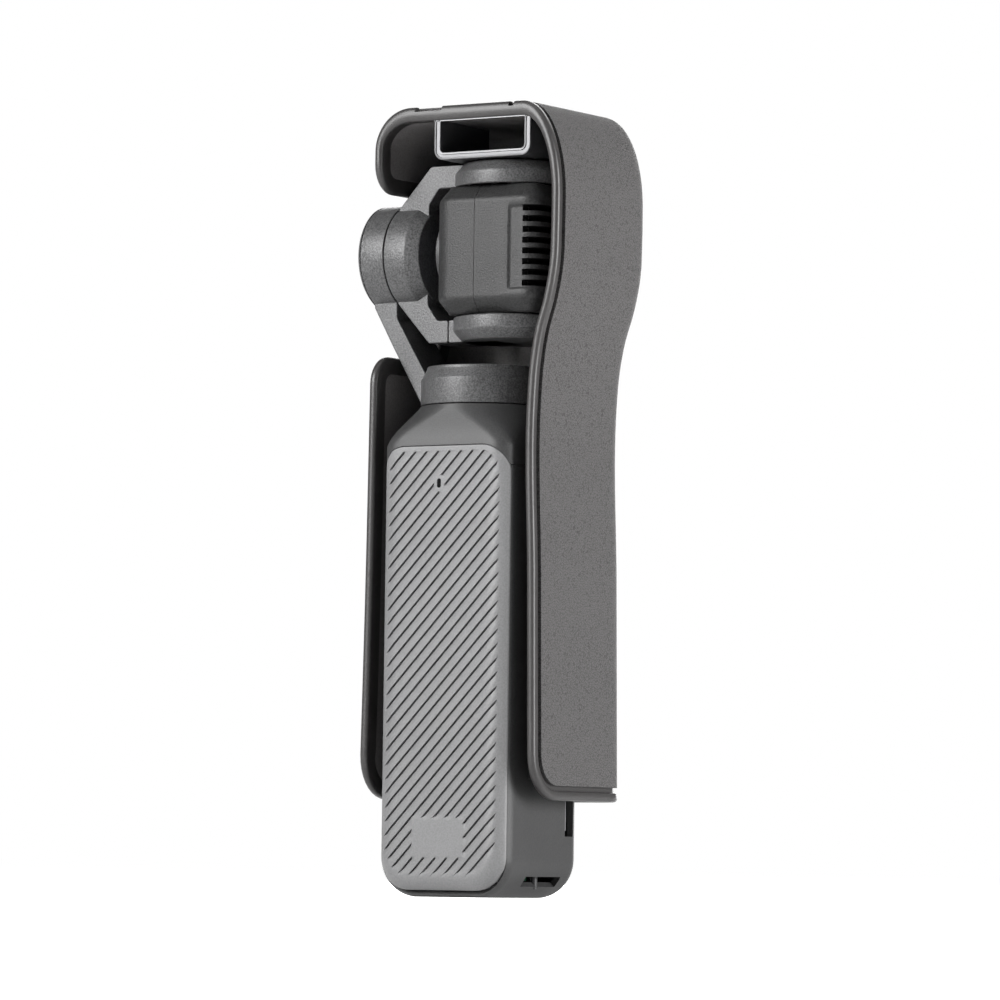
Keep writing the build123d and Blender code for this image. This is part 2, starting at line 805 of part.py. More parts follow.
# Record button with its red dot
flange_front = front_seam + 0.25
with BuildPart() as record_button:
    with BuildSketch(facing_front(front_face - record_proud)):
        with Locations((0, record_z)):
            Circle(record_radius)
    extrude(amount=-(flange_front + record_flange - front_face + record_proud))
    fillet(record_button.faces().sort_by(Axis.Y)[0].edges(), 0.4)
    with BuildSketch(facing_front(flange_front)):
        with Locations((0, record_z)):
            Circle(record_radius + 0.7)
    extrude(amount=-record_flange)
    with BuildSketch(facing_front(flange_front)):
        with Locations((0, record_z)):
            Circle(1.0)
    extrude(amount=-(board_face - switch_height - record_travel - seat - flange_front))
    with BuildSketch(facing_front(front_face - record_proud)):
        with Locations((0, record_z)):
            Circle(record_dot_radius)
    extrude(amount=-record_dot_depth, mode=Mode.SUBTRACT)
record_button.part.label = "record_button"
export_step(record_button.part, "parts/record_button.step")

with BuildPart() as record_dot:
    with BuildSketch(facing_front(front_face - record_proud)):
        with Locations((0, record_z)):
            Circle(record_dot_radius)
    extrude(amount=-record_dot_depth)
record_dot.part.label = "record_dot"
export_step(record_dot.part, "parts/record_dot.step")

# Screen, turning about Y on a hub in the front panel's bush
screen_rear = front_face - screen_gap
glass_rear = screen_rear - screen_thickness + glass_thickness
with BuildPart() as screen_bush:
    with BuildSketch(facing_front(front_face)):
        with Locations((0, screen_z)):
            Circle(bush_radius)
            Circle(hub_radius + running_fit, mode=Mode.SUBTRACT)
    extrude(amount=-bush_length)
screen_bush.part.label = "screen_bush"
export_step(screen_bush.part, "parts/screen_bush.step")

with BuildPart() as screen_shell:
    with BuildSketch(facing_front(screen_rear)):
        with Locations((0, screen_z)):
            RectangleRounded(screen_width, screen_height, screen_corner)
    extrude(amount=screen_thickness - glass_thickness)
    fillet(screen_shell.faces().sort_by(Axis.Y)[-1].edges(), 0.8)
    with BuildSketch(facing_front(screen_rear - screen_back)):
        with Locations((0, screen_z)):
            RectangleRounded(
                screen_width - 2 * screen_wall,
                screen_height - 2 * screen_wall,
                screen_corner - screen_wall,
            )
    extrude(amount=screen_thickness, mode=Mode.SUBTRACT)
    with BuildSketch(facing_front(screen_rear - screen_back)):
        with Locations((0, screen_z)):
            Circle(hub_radius)
    extrude(amount=-(screen_back + screen_gap + bush_length + part_gap))
    with BuildSketch(facing_front(screen_rear - screen_back)):
        with Locations((0, screen_z)):
            Circle(hub_radius - 1.3)
    extrude(amount=-screen_thickness, mode=Mode.SUBTRACT)
screen_shell.part.label = "screen_shell"
export_step(screen_shell.part, "parts/screen_shell.step")

with BuildPart() as screen_clip:
    with BuildSketch(facing_front(front_face + bush_length + part_gap)):
        with Locations((0, screen_z)):
            Circle(clip_radius)
            Circle(hub_radius - 1.3, mode=Mode.SUBTRACT)
    extrude(amount=-clip_thickness)
screen_clip.part.label = "screen_clip"
export_step(screen_clip.part, "parts/screen_clip.step")

with BuildPart() as display_panel:
    with BuildSketch(facing_front(glass_rear + seat)):
        with Locations((0, screen_z)):
            RectangleRounded(
                screen_width - 2 * screen_wall - 2 * part_gap,
                screen_height - 2 * screen_wall - 2 * part_gap,
                screen_corner - screen_wall - part_gap,
            )
    extrude(amount=-display_thickness)
display_panel.part.label = "display_panel"
export_step(display_panel.part, "parts/display_panel.step")

with BuildPart() as screen_glass:
    with BuildSketch(facing_front(glass_rear)):
        with Locations((0, screen_z)):
            RectangleRounded(screen_width, screen_height, screen_corner)
    extrude(amount=glass_thickness)
    fillet(screen_glass.faces().sort_by(Axis.Y)[0].edges(), 0.5)
screen_glass.part.label = "screen_glass"
export_step(screen_glass.part, "parts/screen_glass.step")

# Pan motor: the wound stator sits on the post, the magnets sit in the arm's ring
ring_bore = neck_radius - ring_wall
magnet_bore = ring_bore - pan_magnet
pan_stator_foot = ring_foot + 0.7
with BuildPart() as pan_stator:
    with BuildSketch(level(pan_stator_foot)):
        Circle(magnet_bore - air_gap)
        Circle(post_radius + seat, mode=Mode.SUBTRACT)
        with PolarLocations((magnet_bore + post_radius) / 2 + 0.6, motor_slots):
            Rectangle(magnet_bore - post_radius - 2.0, slot_width, mode=Mode.SUBTRACT)
    extrude(amount=pan_stator_height)
pan_stator.part.label = "pan_stator"
export_step(pan_stator.part, "parts/pan_stator.step")

with BuildPart() as pan_bearings:
    for foot in (post_foot, post_top - bearing_width):
        with BuildSketch(level(foot)):
            Circle(bearing_radius - seat / 2)
            Circle(pan_shaft_radius + running_fit, mode=Mode.SUBTRACT)
        extrude(amount=bearing_width)
pan_bearings.part.label = "pan_bearings"
export_step(pan_bearings.part, "parts/pan_bearings.step")

with BuildPart() as pan_rotor:
    with BuildSketch(level(pan_stator_foot - 0.3)):
        Circle(ring_bore)
        Circle(magnet_bore, mode=Mode.SUBTRACT)
    extrude(amount=pan_stator_height + 0.6)
pan_rotor.part.label = "pan_rotor"
export_step(pan_rotor.part, "parts/pan_rotor.step")

with BuildPart() as pan_shaft:
    with BuildSketch(level(post_foot)):
        Circle(pan_shaft_radius)
    extrude(amount=ring_ceiling + 1.0 - post_foot)
pan_shaft.part.label = "pan_shaft"
export_step(pan_shaft.part, "parts/pan_shaft.step")

# Pan arm: ring, slanted arm and roll motor housing in one casting
arm_slope = (arm_outer[1][0] - arm_outer[0][0]) / (arm_outer[1][1] - arm_outer[0][1])
arm_top = roll_height - roll_radius + 4.0
housing_bore = roll_radius - roll_wall
end_wall_x = roll_back - roll_end_wall
roll_bearing_radius = roll_shaft_radius + roll_tube_wall
roll_tube_radius = roll_bearing_radius + roll_tube_wall
roll_axis = Axis((0, 0, roll_height), (1, 0, 0))
with BuildPart() as pan_arm:
    with BuildSketch(Plane.XZ):
        with BuildLine():
            Polyline(
                (0, ring_foot),
                (neck_radius, ring_foot),
                (neck_radius, ring_shoulder),
                (ring_top_radius, ring_bevel_top),
                (ring_top_radius, ring_top),
                (0, ring_top),
                close=True,
            )
        make_face()
    revolve(axis=Axis.Z)
    with BuildSketch(Plane.XZ):
        with BuildLine():
            Polyline(
                arm_outer[0],
                arm_outer[1],
                (roll_back, arm_outer[1][1] + (roll_back - arm_outer[1][0]) / arm_slope),
                (roll_back, arm_top),
                (roll_seam, arm_top),
                arm_inner[1],
                arm_inner[0],
                arm_root,
                close=True,
            )
        make_face()
    extrude(amount=arm_half_depth, both=True)
    with BuildSketch(across(roll_seam)):
        with Locations((0, roll_height)):
            Circle(roll_radius)
    extrude(amount=roll_back - roll_seam)
    with BuildSketch(across(roll_seam - 1)):
        with Locations((0, roll_height)):
            Circle(housing_bore)
    extrude(amount=end_wall_x - roll_seam + 1, mode=Mode.SUBTRACT)
    with BuildSketch(level(ring_foot)):
        Circle(ring_bore)
    extrude(amount=ring_ceiling - ring_foot, mode=Mode.SUBTRACT)
    with BuildSketch(level(ring_ceiling)):
        Circle(pan_shaft_radius)
    extrude(amount=1.0, mode=Mode.SUBTRACT)
    with BuildSketch(across(roll_seam + 0.4)):
        with Locations((0, roll_height)):
            Circle(roll_tube_radius)
    extrude(amount=end_wall_x - roll_seam - 0.4)
    with BuildSketch(across(roll_seam)):
        with Locations((0, roll_height)):
            Circle(roll_bearing_radius)
    extrude(amount=end_wall_x - roll_seam, mode=Mode.SUBTRACT)
pan_arm.part.label = "pan_arm"
export_step(pan_arm.part, "parts/pan_arm.step")

with BuildPart() as roll_end_cap:
    with BuildSketch(across(roll_back)):
        with Locations((0, roll_height)):
            Circle(roll_radius)
    extrude(amount=roll_end - roll_back)
    chamfer(roll_end_cap.faces().sort_by(Axis.X)[-1].edges(), roll_chamfer)
roll_end_cap.part.label = "roll_end_cap"
export_step(roll_end_cap.part, "parts/roll_end_cap.step")

# Roll motor: the stator sits on the housing's tube, the magnets turn with the fork
roll_magnet_outer = housing_bore - air_gap
roll_stator_radius = roll_magnet_outer - roll_magnet - air_gap
hub_face = roll_seam - roll_seam_gap
with BuildPart() as roll_stator:
    with BuildSketch(across(roll_seam + 0.7)):
        with Locations((0, roll_height)):
            Circle(roll_stator_radius)
            Circle(roll_tube_radius + seat, mode=Mode.SUBTRACT)
        with Locations((0, roll_height)):
            with PolarLocations((roll_stator_radius + roll_tube_radius) / 2 + 0.7, motor_slots):
                Rectangle(roll_stator_radius - roll_tube_radius - 1.2, 0.9, mode=Mode.SUBTRACT)
    extrude(amount=end_wall_x - roll_seam - 1.2)
roll_stator.part.label = "roll_stator"
export_step(roll_stator.part, "parts/roll_stator.step")

with BuildPart() as roll_bearings:
    for start in (roll_seam + 0.5, end_wall_x - 1.2):
        with BuildSketch(across(start)):
            with Locations((0, roll_height)):
                Circle(roll_bearing_radius - seat / 2)
                Circle(roll_shaft_radius + running_fit, mode=Mode.SUBTRACT)
        extrude(amount=1.2)
roll_bearings.part.label = "roll_bearings"
export_step(roll_bearings.part, "parts/roll_bearings.step")

with BuildPart() as roll_rotor:
    with BuildSketch(across(hub_face)):
        with Locations((0, roll_height)):
            Circle(roll_magnet_outer)
            Circle(roll_magnet_outer - roll_magnet, mode=Mode.SUBTRACT)
    extrude(amount=end_wall_x - air_gap - hub_face)
roll_rotor.part.label = "roll_rotor"
export_step(roll_rotor.part, "parts/roll_rotor.step")

shaft_seat_x = hub_face - 3.8
with BuildPart() as roll_shaft:
    with BuildSketch(across(shaft_seat_x)):
        with Locations((0, roll_height)):
            Circle(roll_shaft_radius)
    extrude(amount=end_wall_x - 0.1 - shaft_seat_x)
roll_shaft.part.label = "roll_shaft"
export_step(roll_shaft.part, "parts/roll_shaft.step")

# Fork: hub, upper arm with its round cap, and the root of the lower arm
tilt_axis = Axis((tilt_x, 0, 0), (0, 0, 1))
tilt_seam = head_height / 2 + tilt_gap
arm_inner_face = fork_reach - fork_thickness
tilt_bearing_radius = tilt_shaft_radius + tilt_bearing_wall
with BuildPart() as roll_fork:
    with BuildSketch(Plane.XZ):
        with BuildLine():
            Polyline(
                (hub_inner_x, roll_height),
                (hub_inner_x, roll_height + hub_inner_radius),
                (hub_bevel_x, roll_height + hub_radius_outer),
                (hub_face, roll_height + hub_radius_outer),
                (hub_face, roll_height),
                close=True,
            )
        make_face()
    revolve(axis=roll_axis)
    with BuildSketch(Plane((0, 0, roll_height), x_dir=(1, 0, 0), z_dir=(0, -1, 0))):
        with BuildLine():
            Polyline(
                (tilt_x, fork_reach),
                fork_chamfer_outer[0],
                fork_chamfer_outer[1],
                (fork_chamfer_outer[1][0], -fork_chamfer_outer[1][1]),
                (fork_chamfer_outer[0][0], -fork_reach),
                (fork_seam_x, -fork_reach),
                (fork_seam_x, -arm_inner_face),
                (fork_chamfer_inner[0][0], -arm_inner_face),
                (fork_chamfer_inner[1][0], -fork_chamfer_inner[1][1]),
                fork_chamfer_inner[1],
                fork_chamfer_inner[0],
                (tilt_x, arm_inner_face),
                close=True,
            )
        make_face()
    extrude(amount=arm_half_depth, both=True)
    with BuildSketch(Plane.XZ):
        with BuildLine():
            Polyline(
                (tilt_x, roll_height + tilt_seam),
                (tilt_x + tilt_cap_radius, roll_height + tilt_seam),
                (tilt_x + tilt_cap_radius, roll_height + tilt_seam + tilt_cap_land),
                (tilt_x + tilt_cap_top_radius, fork_top),
                (tilt_x, fork_top),
                close=True,
            )
        make_face()
    revolve(axis=tilt_axis)
    with BuildSketch(level(roll_height + tilt_seam)):
        with Locations((tilt_x, 0)):
            Circle(tilt_bearing_radius)
    extrude(amount=tilt_bearing_width + 0.6, mode=Mode.SUBTRACT)
    with BuildSketch(across(shaft_seat_x)):
        with Locations((0, roll_height)):
            Circle(roll_shaft_radius)
    extrude(amount=hub_face - shaft_seat_x, mode=Mode.SUBTRACT)
roll_fork.part.label = "roll_fork"
export_step(roll_fork.part, "parts/roll_fork.step")

# Tilt motor housing: the fork's lower cap, open towards the head, with its half of the arm
cup_bore = tilt_cap_radius - tilt_cup_wall
cup_floor = fork_foot + tilt_cup_floor
tilt_tube_radius = tilt_bearing_radius + 0.7
with BuildPart() as tilt_motor_housing:
    with BuildSketch(Plane.XZ):
        with BuildLine():
            Polyline(
                (tilt_x, roll_height - tilt_seam),
                (tilt_x + tilt_cap_radius, roll_height - tilt_seam),
                (tilt_x + tilt_cap_radius, roll_height - tilt_seam - tilt_cap_land),
                (tilt_x + tilt_cap_top_radius, fork_foot),
                (tilt_x, fork_foot),
                close=True,
            )
        make_face()
    revolve(axis=tilt_axis)
    with BuildSketch(level(fork_foot)):
        with Locations(((tilt_x + fork_seam_x - part_gap) / 2, 0)):
            Rectangle(fork_seam_x - part_gap - tilt_x, 2 * arm_half_depth)
    extrude(amount=fork_thickness)
    with BuildSketch(level(cup_floor)):
        with Locations((tilt_x, 0)):
            Circle(cup_bore)
            Circle(tilt_tube_radius, mode=Mode.SUBTRACT)
    extrude(amount=2 * fork_thickness, mode=Mode.SUBTRACT)
    with BuildSketch(level(roll_height - tilt_seam - 0.5)):
        with Locations((tilt_x, 0)):
            Circle(tilt_tube_radius)
    extrude(amount=fork_thickness, mode=Mode.SUBTRACT)
    with BuildSketch(level(cup_floor)):
        with Locations((tilt_x, 0)):
            Circle(tilt_bearing_radius)
    extrude(amount=fork_thickness, mode=Mode.SUBTRACT)
tilt_motor_housing.part.label = "tilt_motor_housing"
export_step(tilt_motor_housing.part, "parts/tilt_motor_housing.step")

tilt_magnet_outer = cup_bore - air_gap
tilt_stator_top = head_foot - 1.1
with BuildPart() as tilt_stator:
    with BuildSketch(level(cup_floor + 0.2)):
        with Locations((tilt_x, 0)):
            Circle(tilt_magnet_outer - tilt_magnet - air_gap)
            Circle(tilt_tube_radius + seat, mode=Mode.SUBTRACT)
            with PolarLocations(5.9, motor_slots):
                Rectangle(4.2, 1.0, mode=Mode.SUBTRACT)
    extrude(amount=tilt_stator_top - cup_floor - 0.2)
tilt_stator.part.label = "tilt_stator"
export_step(tilt_stator.part, "parts/tilt_stator.step")

with BuildPart() as tilt_bearings:
    for foot in (cup_floor + 0.1, roll_height + tilt_seam + 0.1):
        with BuildSketch(level(foot)):
            with Locations((tilt_x, 0)):
                Circle(tilt_bearing_radius - seat / 2)
                Circle(tilt_shaft_radius + running_fit, mode=Mode.SUBTRACT)
        extrude(amount=tilt_bearing_width)
tilt_bearings.part.label = "tilt_bearings"
export_step(tilt_bearings.part, "parts/tilt_bearings.step")

# Tilt rotor under the head, and the two shafts that the head turns on
with BuildPart() as tilt_rotor:
    with BuildSketch(level(head_foot)):
        with Locations((tilt_x, 0)):
            Circle(tilt_magnet_outer)
            Circle(tilt_shaft_radius, mode=Mode.SUBTRACT)
    extrude(amount=-0.4)
    with BuildSketch(level(head_foot)):
        with Locations((tilt_x, 0)):
            Circle(tilt_magnet_outer)
            Circle(tilt_magnet_outer - tilt_magnet, mode=Mode.SUBTRACT)
    extrude(amount=-(head_foot - cup_floor - 0.4))
tilt_rotor.part.label = "tilt_rotor"
export_step(tilt_rotor.part, "parts/tilt_rotor.step")

with BuildPart() as tilt_shafts:
    for end, side in ((head_foot, -1), (head_top, 1)):
        with BuildSketch(level(end - side * head_wall)):
            with Locations((tilt_x, 0)):
                Circle(tilt_shaft_radius)
        extrude(amount=side * (head_wall + tilt_gap + 0.2 + tilt_bearing_width))
        with BuildSketch(level(end - side * head_wall)):
            with Locations((tilt_x, 0)):
                Circle(2 * tilt_shaft_radius)
        extrude(amount=-side * 1.0)
tilt_shafts.part.label = "tilt_shafts"
export_step(tilt_shafts.part, "parts/tilt_shafts.step")


def head_form(inset):
    """The camera head's bevelled block, moved inwards by inset."""
    slope = degrees(atan(head_bevel_inset / head_bevel_height))
    with BuildPart() as form:
        with BuildSketch(level(roll_height)):
            with Locations((head_centre, 0)):
                RectangleRounded(
                    head_length - 2 * inset, head_width - 2 * inset, head_corner - inset
                )
        extrude(amount=head_height / 2 - head_bevel_height, both=True)
        extrude(form.faces().sort_by(Axis.Z)[-1], amount=head_bevel_height - inset, taper=slope)
        extrude(form.faces().sort_by(Axis.Z)[0], amount=head_bevel_height - inset, taper=slope)
    return form.part


head_outside = head_form(0)
head_inside = head_form(head_wall)
boss_y = head_width / 2 - head_wall + head_boss_sunk - head_boss_radius
boss_places = [(y, roll_height + z) for y in (-boss_y, boss_y) for z in (-8.2, 8.2)]

with BuildPart() as head_front_shell:
    add(head_outside)
    add(head_inside, mode=Mode.SUBTRACT)
    with BuildSketch(across(head_seam_x)):
        with Locations(*boss_places):
            Circle(head_boss_radius)
    extrude(amount=head_front - head_wall - head_seam_x)
    with BuildSketch(across(head_seam_x)):
        with Locations(*boss_places):
            Circle(screw_radius)
    extrude(amount=4.0, mode=Mode.SUBTRACT)
    with BuildSketch(across(head_seam_x + part_gap / 2)):
        with Locations((0, roll_height)):
            Rectangle(2 * head_width, 2 * head_height)
    extrude(amount=-head_length, mode=Mode.SUBTRACT)
    with BuildSketch(across(0)):
        with Locations((0, roll_height)):
            Circle(lens_radius + seat)
    extrude(amount=2 * head_front, mode=Mode.SUBTRACT)
head_front_shell.part.label = "head_front_shell"
export_step(head_front_shell.part, "parts/head_front_shell.step")

# Rear shell: shallow recess round both rear corners, with the vent slots in it
vent_rows = [vent_top - number * vent_pitch for number in range(vent_count)]
with BuildPart() as vent_recess:
    add(head_outside)
    add(head_form(recess_depth), mode=Mode.SUBTRACT)
    with BuildSketch(across(recess_start_x)):
        with Locations((0, sum(recess_heights) / 2)):
            Rectangle(2 * head_width, recess_heights[1] - recess_heights[0])
    extrude(amount=-head_length, mode=Mode.INTERSECT)

with BuildPart() as head_rear_shell:
    add(head_outside)
    add(head_inside, mode=Mode.SUBTRACT)
    add(vent_recess.part, mode=Mode.SUBTRACT)
    with BuildSketch(across(head_seam_x)):
        with Locations(*boss_places):
            Circle(head_boss_radius)
    extrude(amount=-4.0)
    with BuildSketch(across(head_seam_x)):
        with Locations(*boss_places):
            Circle(screw_radius)
    extrude(amount=-4.0, mode=Mode.SUBTRACT)
    with BuildSketch(across(head_seam_x - part_gap / 2)):
        with Locations((0, roll_height)):
            Rectangle(2 * head_width, 2 * head_height)
    extrude(amount=head_length, mode=Mode.SUBTRACT)
    with BuildSketch(across(vent_start_x)):
        for row in vent_rows:
            for side in (-1, 1):
                with Locations((side * (vent_bridge + head_width) / 2, row)):
                    Rectangle(head_width - vent_bridge, vent_height)
    extrude(amount=-head_length, mode=Mode.SUBTRACT)
    with BuildSketch(level(head_foot - 1)):
        with Locations((tilt_x, 0)):
            Circle(tilt_shaft_radius)
    extrude(amount=head_height + 2, mode=Mode.SUBTRACT)
head_rear_shell.part.label = "head_rear_shell"
export_step(head_rear_shell.part, "parts/head_rear_shell.step")

with BuildPart() as head_screws:
    with BuildSketch(across(head_seam_x - 3.8)):
        with Locations(*boss_places):
            Circle(screw_radius)
    extrude(amount=7.6)
head_screws.part.label = "head_screws"
export_step(head_screws.part, "parts/head_screws.step")

# Heat sink behind the vents, its fins level with the ribs between the slots
sink_back = head_back + head_wall + 0.2
with BuildPart() as head_heat_sink:
    with BuildSketch(across(recess_start_x)):
        with Locations((0, roll_height)):
            Rectangle(16.0, vent_count * vent_pitch)
    extrude(amount=0.8)
    with BuildSketch(across(recess_start_x)):
        for row in vent_rows:
            with Locations((0, row - vent_pitch / 2)):
                Rectangle(16.0, fin_thickness)
    extrude(amount=-(recess_start_x - sink_back))
head_heat_sink.part.label = "head_heat_sink"
export_step(head_heat_sink.part, "parts/head_heat_sink.step")

# Lens unit: barrel, four glass elements, front glass, ring and sensor board
barrel_front = head_front + 0.1
barrel_back = barrel_front - lens_length
lens_bore = lens_radius - lens_wall
with BuildPart() as lens_barrel:
    with BuildSketch(across(barrel_back)):
        with Locations((0, roll_height)):
            Circle(lens_radius)
            Circle(lens_bore, mode=Mode.SUBTRACT)
    extrude(amount=lens_length)
lens_barrel.part.label = "lens_barrel"
export_step(lens_barrel.part, "parts/lens_barrel.step")

element_radius = lens_bore - seat
with BuildPart() as lens_elements:
    for centre, rim, bulge in ((-1.6, 0.5, 0.5), (0.3, 0.4, 0.4), (2.1, 0.4, 0.4), (3.9, 0.3, 0.4)):
        bend = (element_radius**2 + bulge**2) / (2 * bulge)
        with BuildSketch(Plane((centre, 0, roll_height), x_dir=(1, 0, 0), z_dir=(0, -1, 0))):
            with BuildLine():
                Line((-rim - bulge, 0), (rim + bulge, 0))
                RadiusArc((rim + bulge, 0), (rim, element_radius), -bend)
                Line((rim, element_radius), (-rim, element_radius))
                RadiusArc((-rim, element_radius), (-rim - bulge, 0), -bend)
            make_face()
        revolve(axis=roll_axis)
lens_elements.part.label = "lens_elements"
export_step(lens_elements.part, "parts/lens_elements.step")

with BuildPart() as front_glass:
    with BuildSketch(across(barrel_front + seat)):
        with Locations((0, roll_height)):
            Circle(glass_radius)
    extrude(amount=front_glass_thickness)
front_glass.part.label = "front_glass"
export_step(front_glass.part, "parts/front_glass.step")

with BuildPart() as lens_ring:
    with BuildSketch(across(head_front)):
        with Locations((0, roll_height)):
            Circle(lens_ring_radius)
            Circle(lens_radius + seat, mode=Mode.SUBTRACT)
    extrude(amount=lens_ring_proud)
    chamfer(lens_ring.faces().sort_by(Axis.X)[-1].edges(), 0.4)
lens_ring.part.label = "lens_ring"
export_step(lens_ring.part, "parts/lens_ring.step")

with BuildPart() as sensor_board:
    with BuildSketch(across(barrel_back - seat)):
        with Locations((0, roll_height)):
            RectangleRounded(sensor_size, sensor_size, 1.0)
    extrude(amount=-sensor_board_thickness)
    with BuildSketch(across(barrel_back - seat)):
        with Locations((0, roll_height)):
            Rectangle(9.0, 6.5)
    extrude(amount=0.5)
sensor_board.part.label = "sensor_board"
export_step(sensor_board.part, "parts/sensor_board.step")


def cover_form(wall, roof):
    """The cover's closed envelope, moved inwards by wall at its sides and front and by roof on top."""
    top = cover_top - roof
    corner_radius = hood_left_corner - wall
    with BuildPart() as form:
        with BuildSketch(facing_front(rim_plane)):
            with BuildLine():
                flank = Line((wall - cover_foot_half, cover_foot), (wall - cover_waist_half, waist_height))
                Spline(
                    flank @ 1,
                    *[(wall - x, z) for x, z in swell],
                    (wall - hood_side, hood_spring),
                    tangents=(flank % 1, (0, 1)),
                )
                EllipticalCenterArc(
                    (-hood_arc_centre, hood_spring),
                    hood_side - hood_arc_centre - wall,
                    top - hood_spring,
                    start_angle=90,
                    arc_size=90,
                )
                crown = Line((-hood_arc_centre, top), (hood_left - wall - corner_radius, top))
                turn = JernArc(crown @ 1, (1, 0), corner_radius, -90)
                Spline(
                    turn @ 1,
                    (cover_waist_half - wall, waist_height),
                    (cover_foot_half - wall, cover_foot),
                    tangents=((0, -1), (0.015, -1)),
                )
                Line((cover_foot_half - wall, cover_foot), flank @ 0)
            make_face()
        extrude(amount=rim_plane + hood_front)
        with BuildSketch(Plane.YZ):
            with BuildLine():
                front = Spline(
                    (wall - cover_front, cover_foot),
                    (wall - cover_front, waist_height),
                    (wall - hood_front, hood_spring - 10),
                    (wall - hood_front, cover_top),
                    tangents=((0, 1), (0, 1)),
                )
                Polyline(front @ 1, (rim_plane, cover_top), (rim_plane, cover_foot), front @ 0)
            make_face()
        extrude(amount=2 * hood_side, both=True, mode=Mode.INTERSECT)
        front_edges = form.edges().filter_by_position(Axis.Y, -2 * hood_front, wall - cover_front)
        fillet(front_edges.filter_by_position(Axis.Z, cover_foot + 1, cover_top), cover_edge - wall)
    return form.part


def wing_limits(margin):
    """Block that holds what the free edges leave of both wings, drawn back by margin."""
    rim = rim_plane - margin
    foot = cover_foot + margin * band_foot / band_width
    far = 2 * cover_top
    sill = wing_top - margin
    lintel = window_top + margin
    with BuildPart() as limits:
        with BuildSketch(Plane.YZ):
            with BuildLine():
                Polyline((rim, foot + wing_foot_corner), (rim, far), (-far, far), (-far, foot))
                base = Line((-far, foot), (rim - wing_foot_corner, foot))
                RadiusArc(base @ 1, (rim, foot + wing_foot_corner), -wing_foot_corner)
            make_face()
        extrude(amount=far, both=True)
        # The window for the roll motor, with rounded ends to both wings
        with BuildSketch(Plane.YZ) as window:
            with BuildLine():
                Line((far, sill - wing_corner), (rim, sill - wing_corner))
                RadiusArc((rim, sill - wing_corner), (rim - wing_corner, sill), -wing_corner)
                Polyline(
                    (rim - wing_corner, sill),
                    (window_depth - margin, sill),
                    (window_depth - margin, lintel),
                    (rim - wing_corner, lintel),
                )
                RadiusArc((rim - wing_corner, lintel), (rim, lintel + wing_corner), -wing_corner)
                Polyline(
                    (rim, lintel + wing_corner),
                    (far, lintel + wing_corner),
                    (far, sill - wing_corner),
                )
            make_face()
            fillet(window.vertices().group_by(Axis.X)[0], wing_corner)
        extrude(amount=far, mode=Mode.SUBTRACT)
    return limits.part


cover_outside = cover_form(0, 0)
cover_middle = cover_form(skin_thickness, skin_thickness)
cover_inside = cover_form(cover_wall, cover_roof)
frame_limits = wing_limits(0)
core_limits = wing_limits(band_width)
skin_limits = wing_limits(band_width + skin_groove)
latch_inner = cover_waist_half - cover_wall - latch_proud

# Cover frame: thin liner with a full-thickness band round its free edges
with BuildPart() as band_field:
    add(frame_limits)
    add(core_limits, mode=Mode.SUBTRACT)

with BuildPart() as rim_band:
    add(cover_outside)
    add(band_field.part, mode=Mode.INTERSECT)

with BuildPart() as cover_frame:
    add(cover_middle)
    add(frame_limits, mode=Mode.INTERSECT)
    add(rim_band.part)
    add(cover_inside, mode=Mode.SUBTRACT)
    # Notch in the top rim, to the left of the raised lip
    with BuildSketch(facing_front(rim_plane)):
        with Locations(((notch_x[0] + notch_x[1]) / 2, cover_top)):
            Rectangle(notch_x[1] - notch_x[0], 2 * notch_depth)
    extrude(amount=band_width, mode=Mode.SUBTRACT)
    # Latch bumps inside both wings, just before the rim
    for side in (-1, 1):
        with BuildSketch(level(latch_z - latch_width / 2)):
            with Locations((side * (latch_inner + 1.1), rim_plane - 0.8 - latch_depth / 2)):
                Rectangle(2.2, latch_depth)
        extrude(amount=latch_width)
cover_frame.part.label = "cover_frame"
export_step(cover_frame.part, "parts/cover_frame.step")

# Textured skin, laid on the liner inside the band
with BuildPart() as cover_skin:
    add(cover_outside)
    add(cover_middle, mode=Mode.SUBTRACT)
    add(skin_limits, mode=Mode.INTERSECT)
cover_skin.part.label = "cover_skin"
export_step(cover_skin.part, "parts/cover_skin.step")

# Head stop: a U hanging from the hood, over the fork's upper cap
stop_foot = fork_top + free_gap
stop_middle = sum(stop_x) / 2
stop_width = stop_x[1] - stop_x[0]
with BuildPart() as head_stop:
    with BuildSketch(facing_front(stop_back)) as frame:
        with Locations((stop_middle, (stop_foot + cover_top) / 2)):
            Rectangle(stop_width, cover_top - stop_foot)
        fillet(frame.vertices().group_by(Axis.Y)[0], stop_corner)
    extrude(amount=stop_back - stop_front)
    with BuildSketch(facing_front(stop_back)) as hollow:
        with Locations((stop_middle, (stop_foot + stop_wall + cover_top) / 2)):
            Rectangle(stop_width - 2 * stop_wall, cover_top - stop_foot - stop_wall)
        fillet(hollow.vertices().group_by(Axis.Y)[0], stop_corner - stop_wall / 2)
    extrude(amount=stop_back - stop_front, mode=Mode.SUBTRACT)
    add(cover_inside, mode=Mode.INTERSECT)
head_stop.part.label = "head_stop"
export_step(head_stop.part, "parts/head_stop.step")

# Pads inside the wings that hug the handle's sides below the screen
with BuildPart() as cover_pads:
    for side in (-1, 1):
        with BuildSketch(Plane.XZ):
            with Locations((side * (half_width + free_gap + cover_foot_half) / 2, sum(pad_heights) / 2)):
                Rectangle(cover_foot_half - half_width - free_gap, pad_heights[1] - pad_heights[0])
        extrude(amount=pad_half_depth, both=True)
    add(cover_inside, mode=Mode.INTERSECT)
cover_pads.part.label = "cover_pads"
export_step(cover_pads.part, "parts/cover_pads.step")
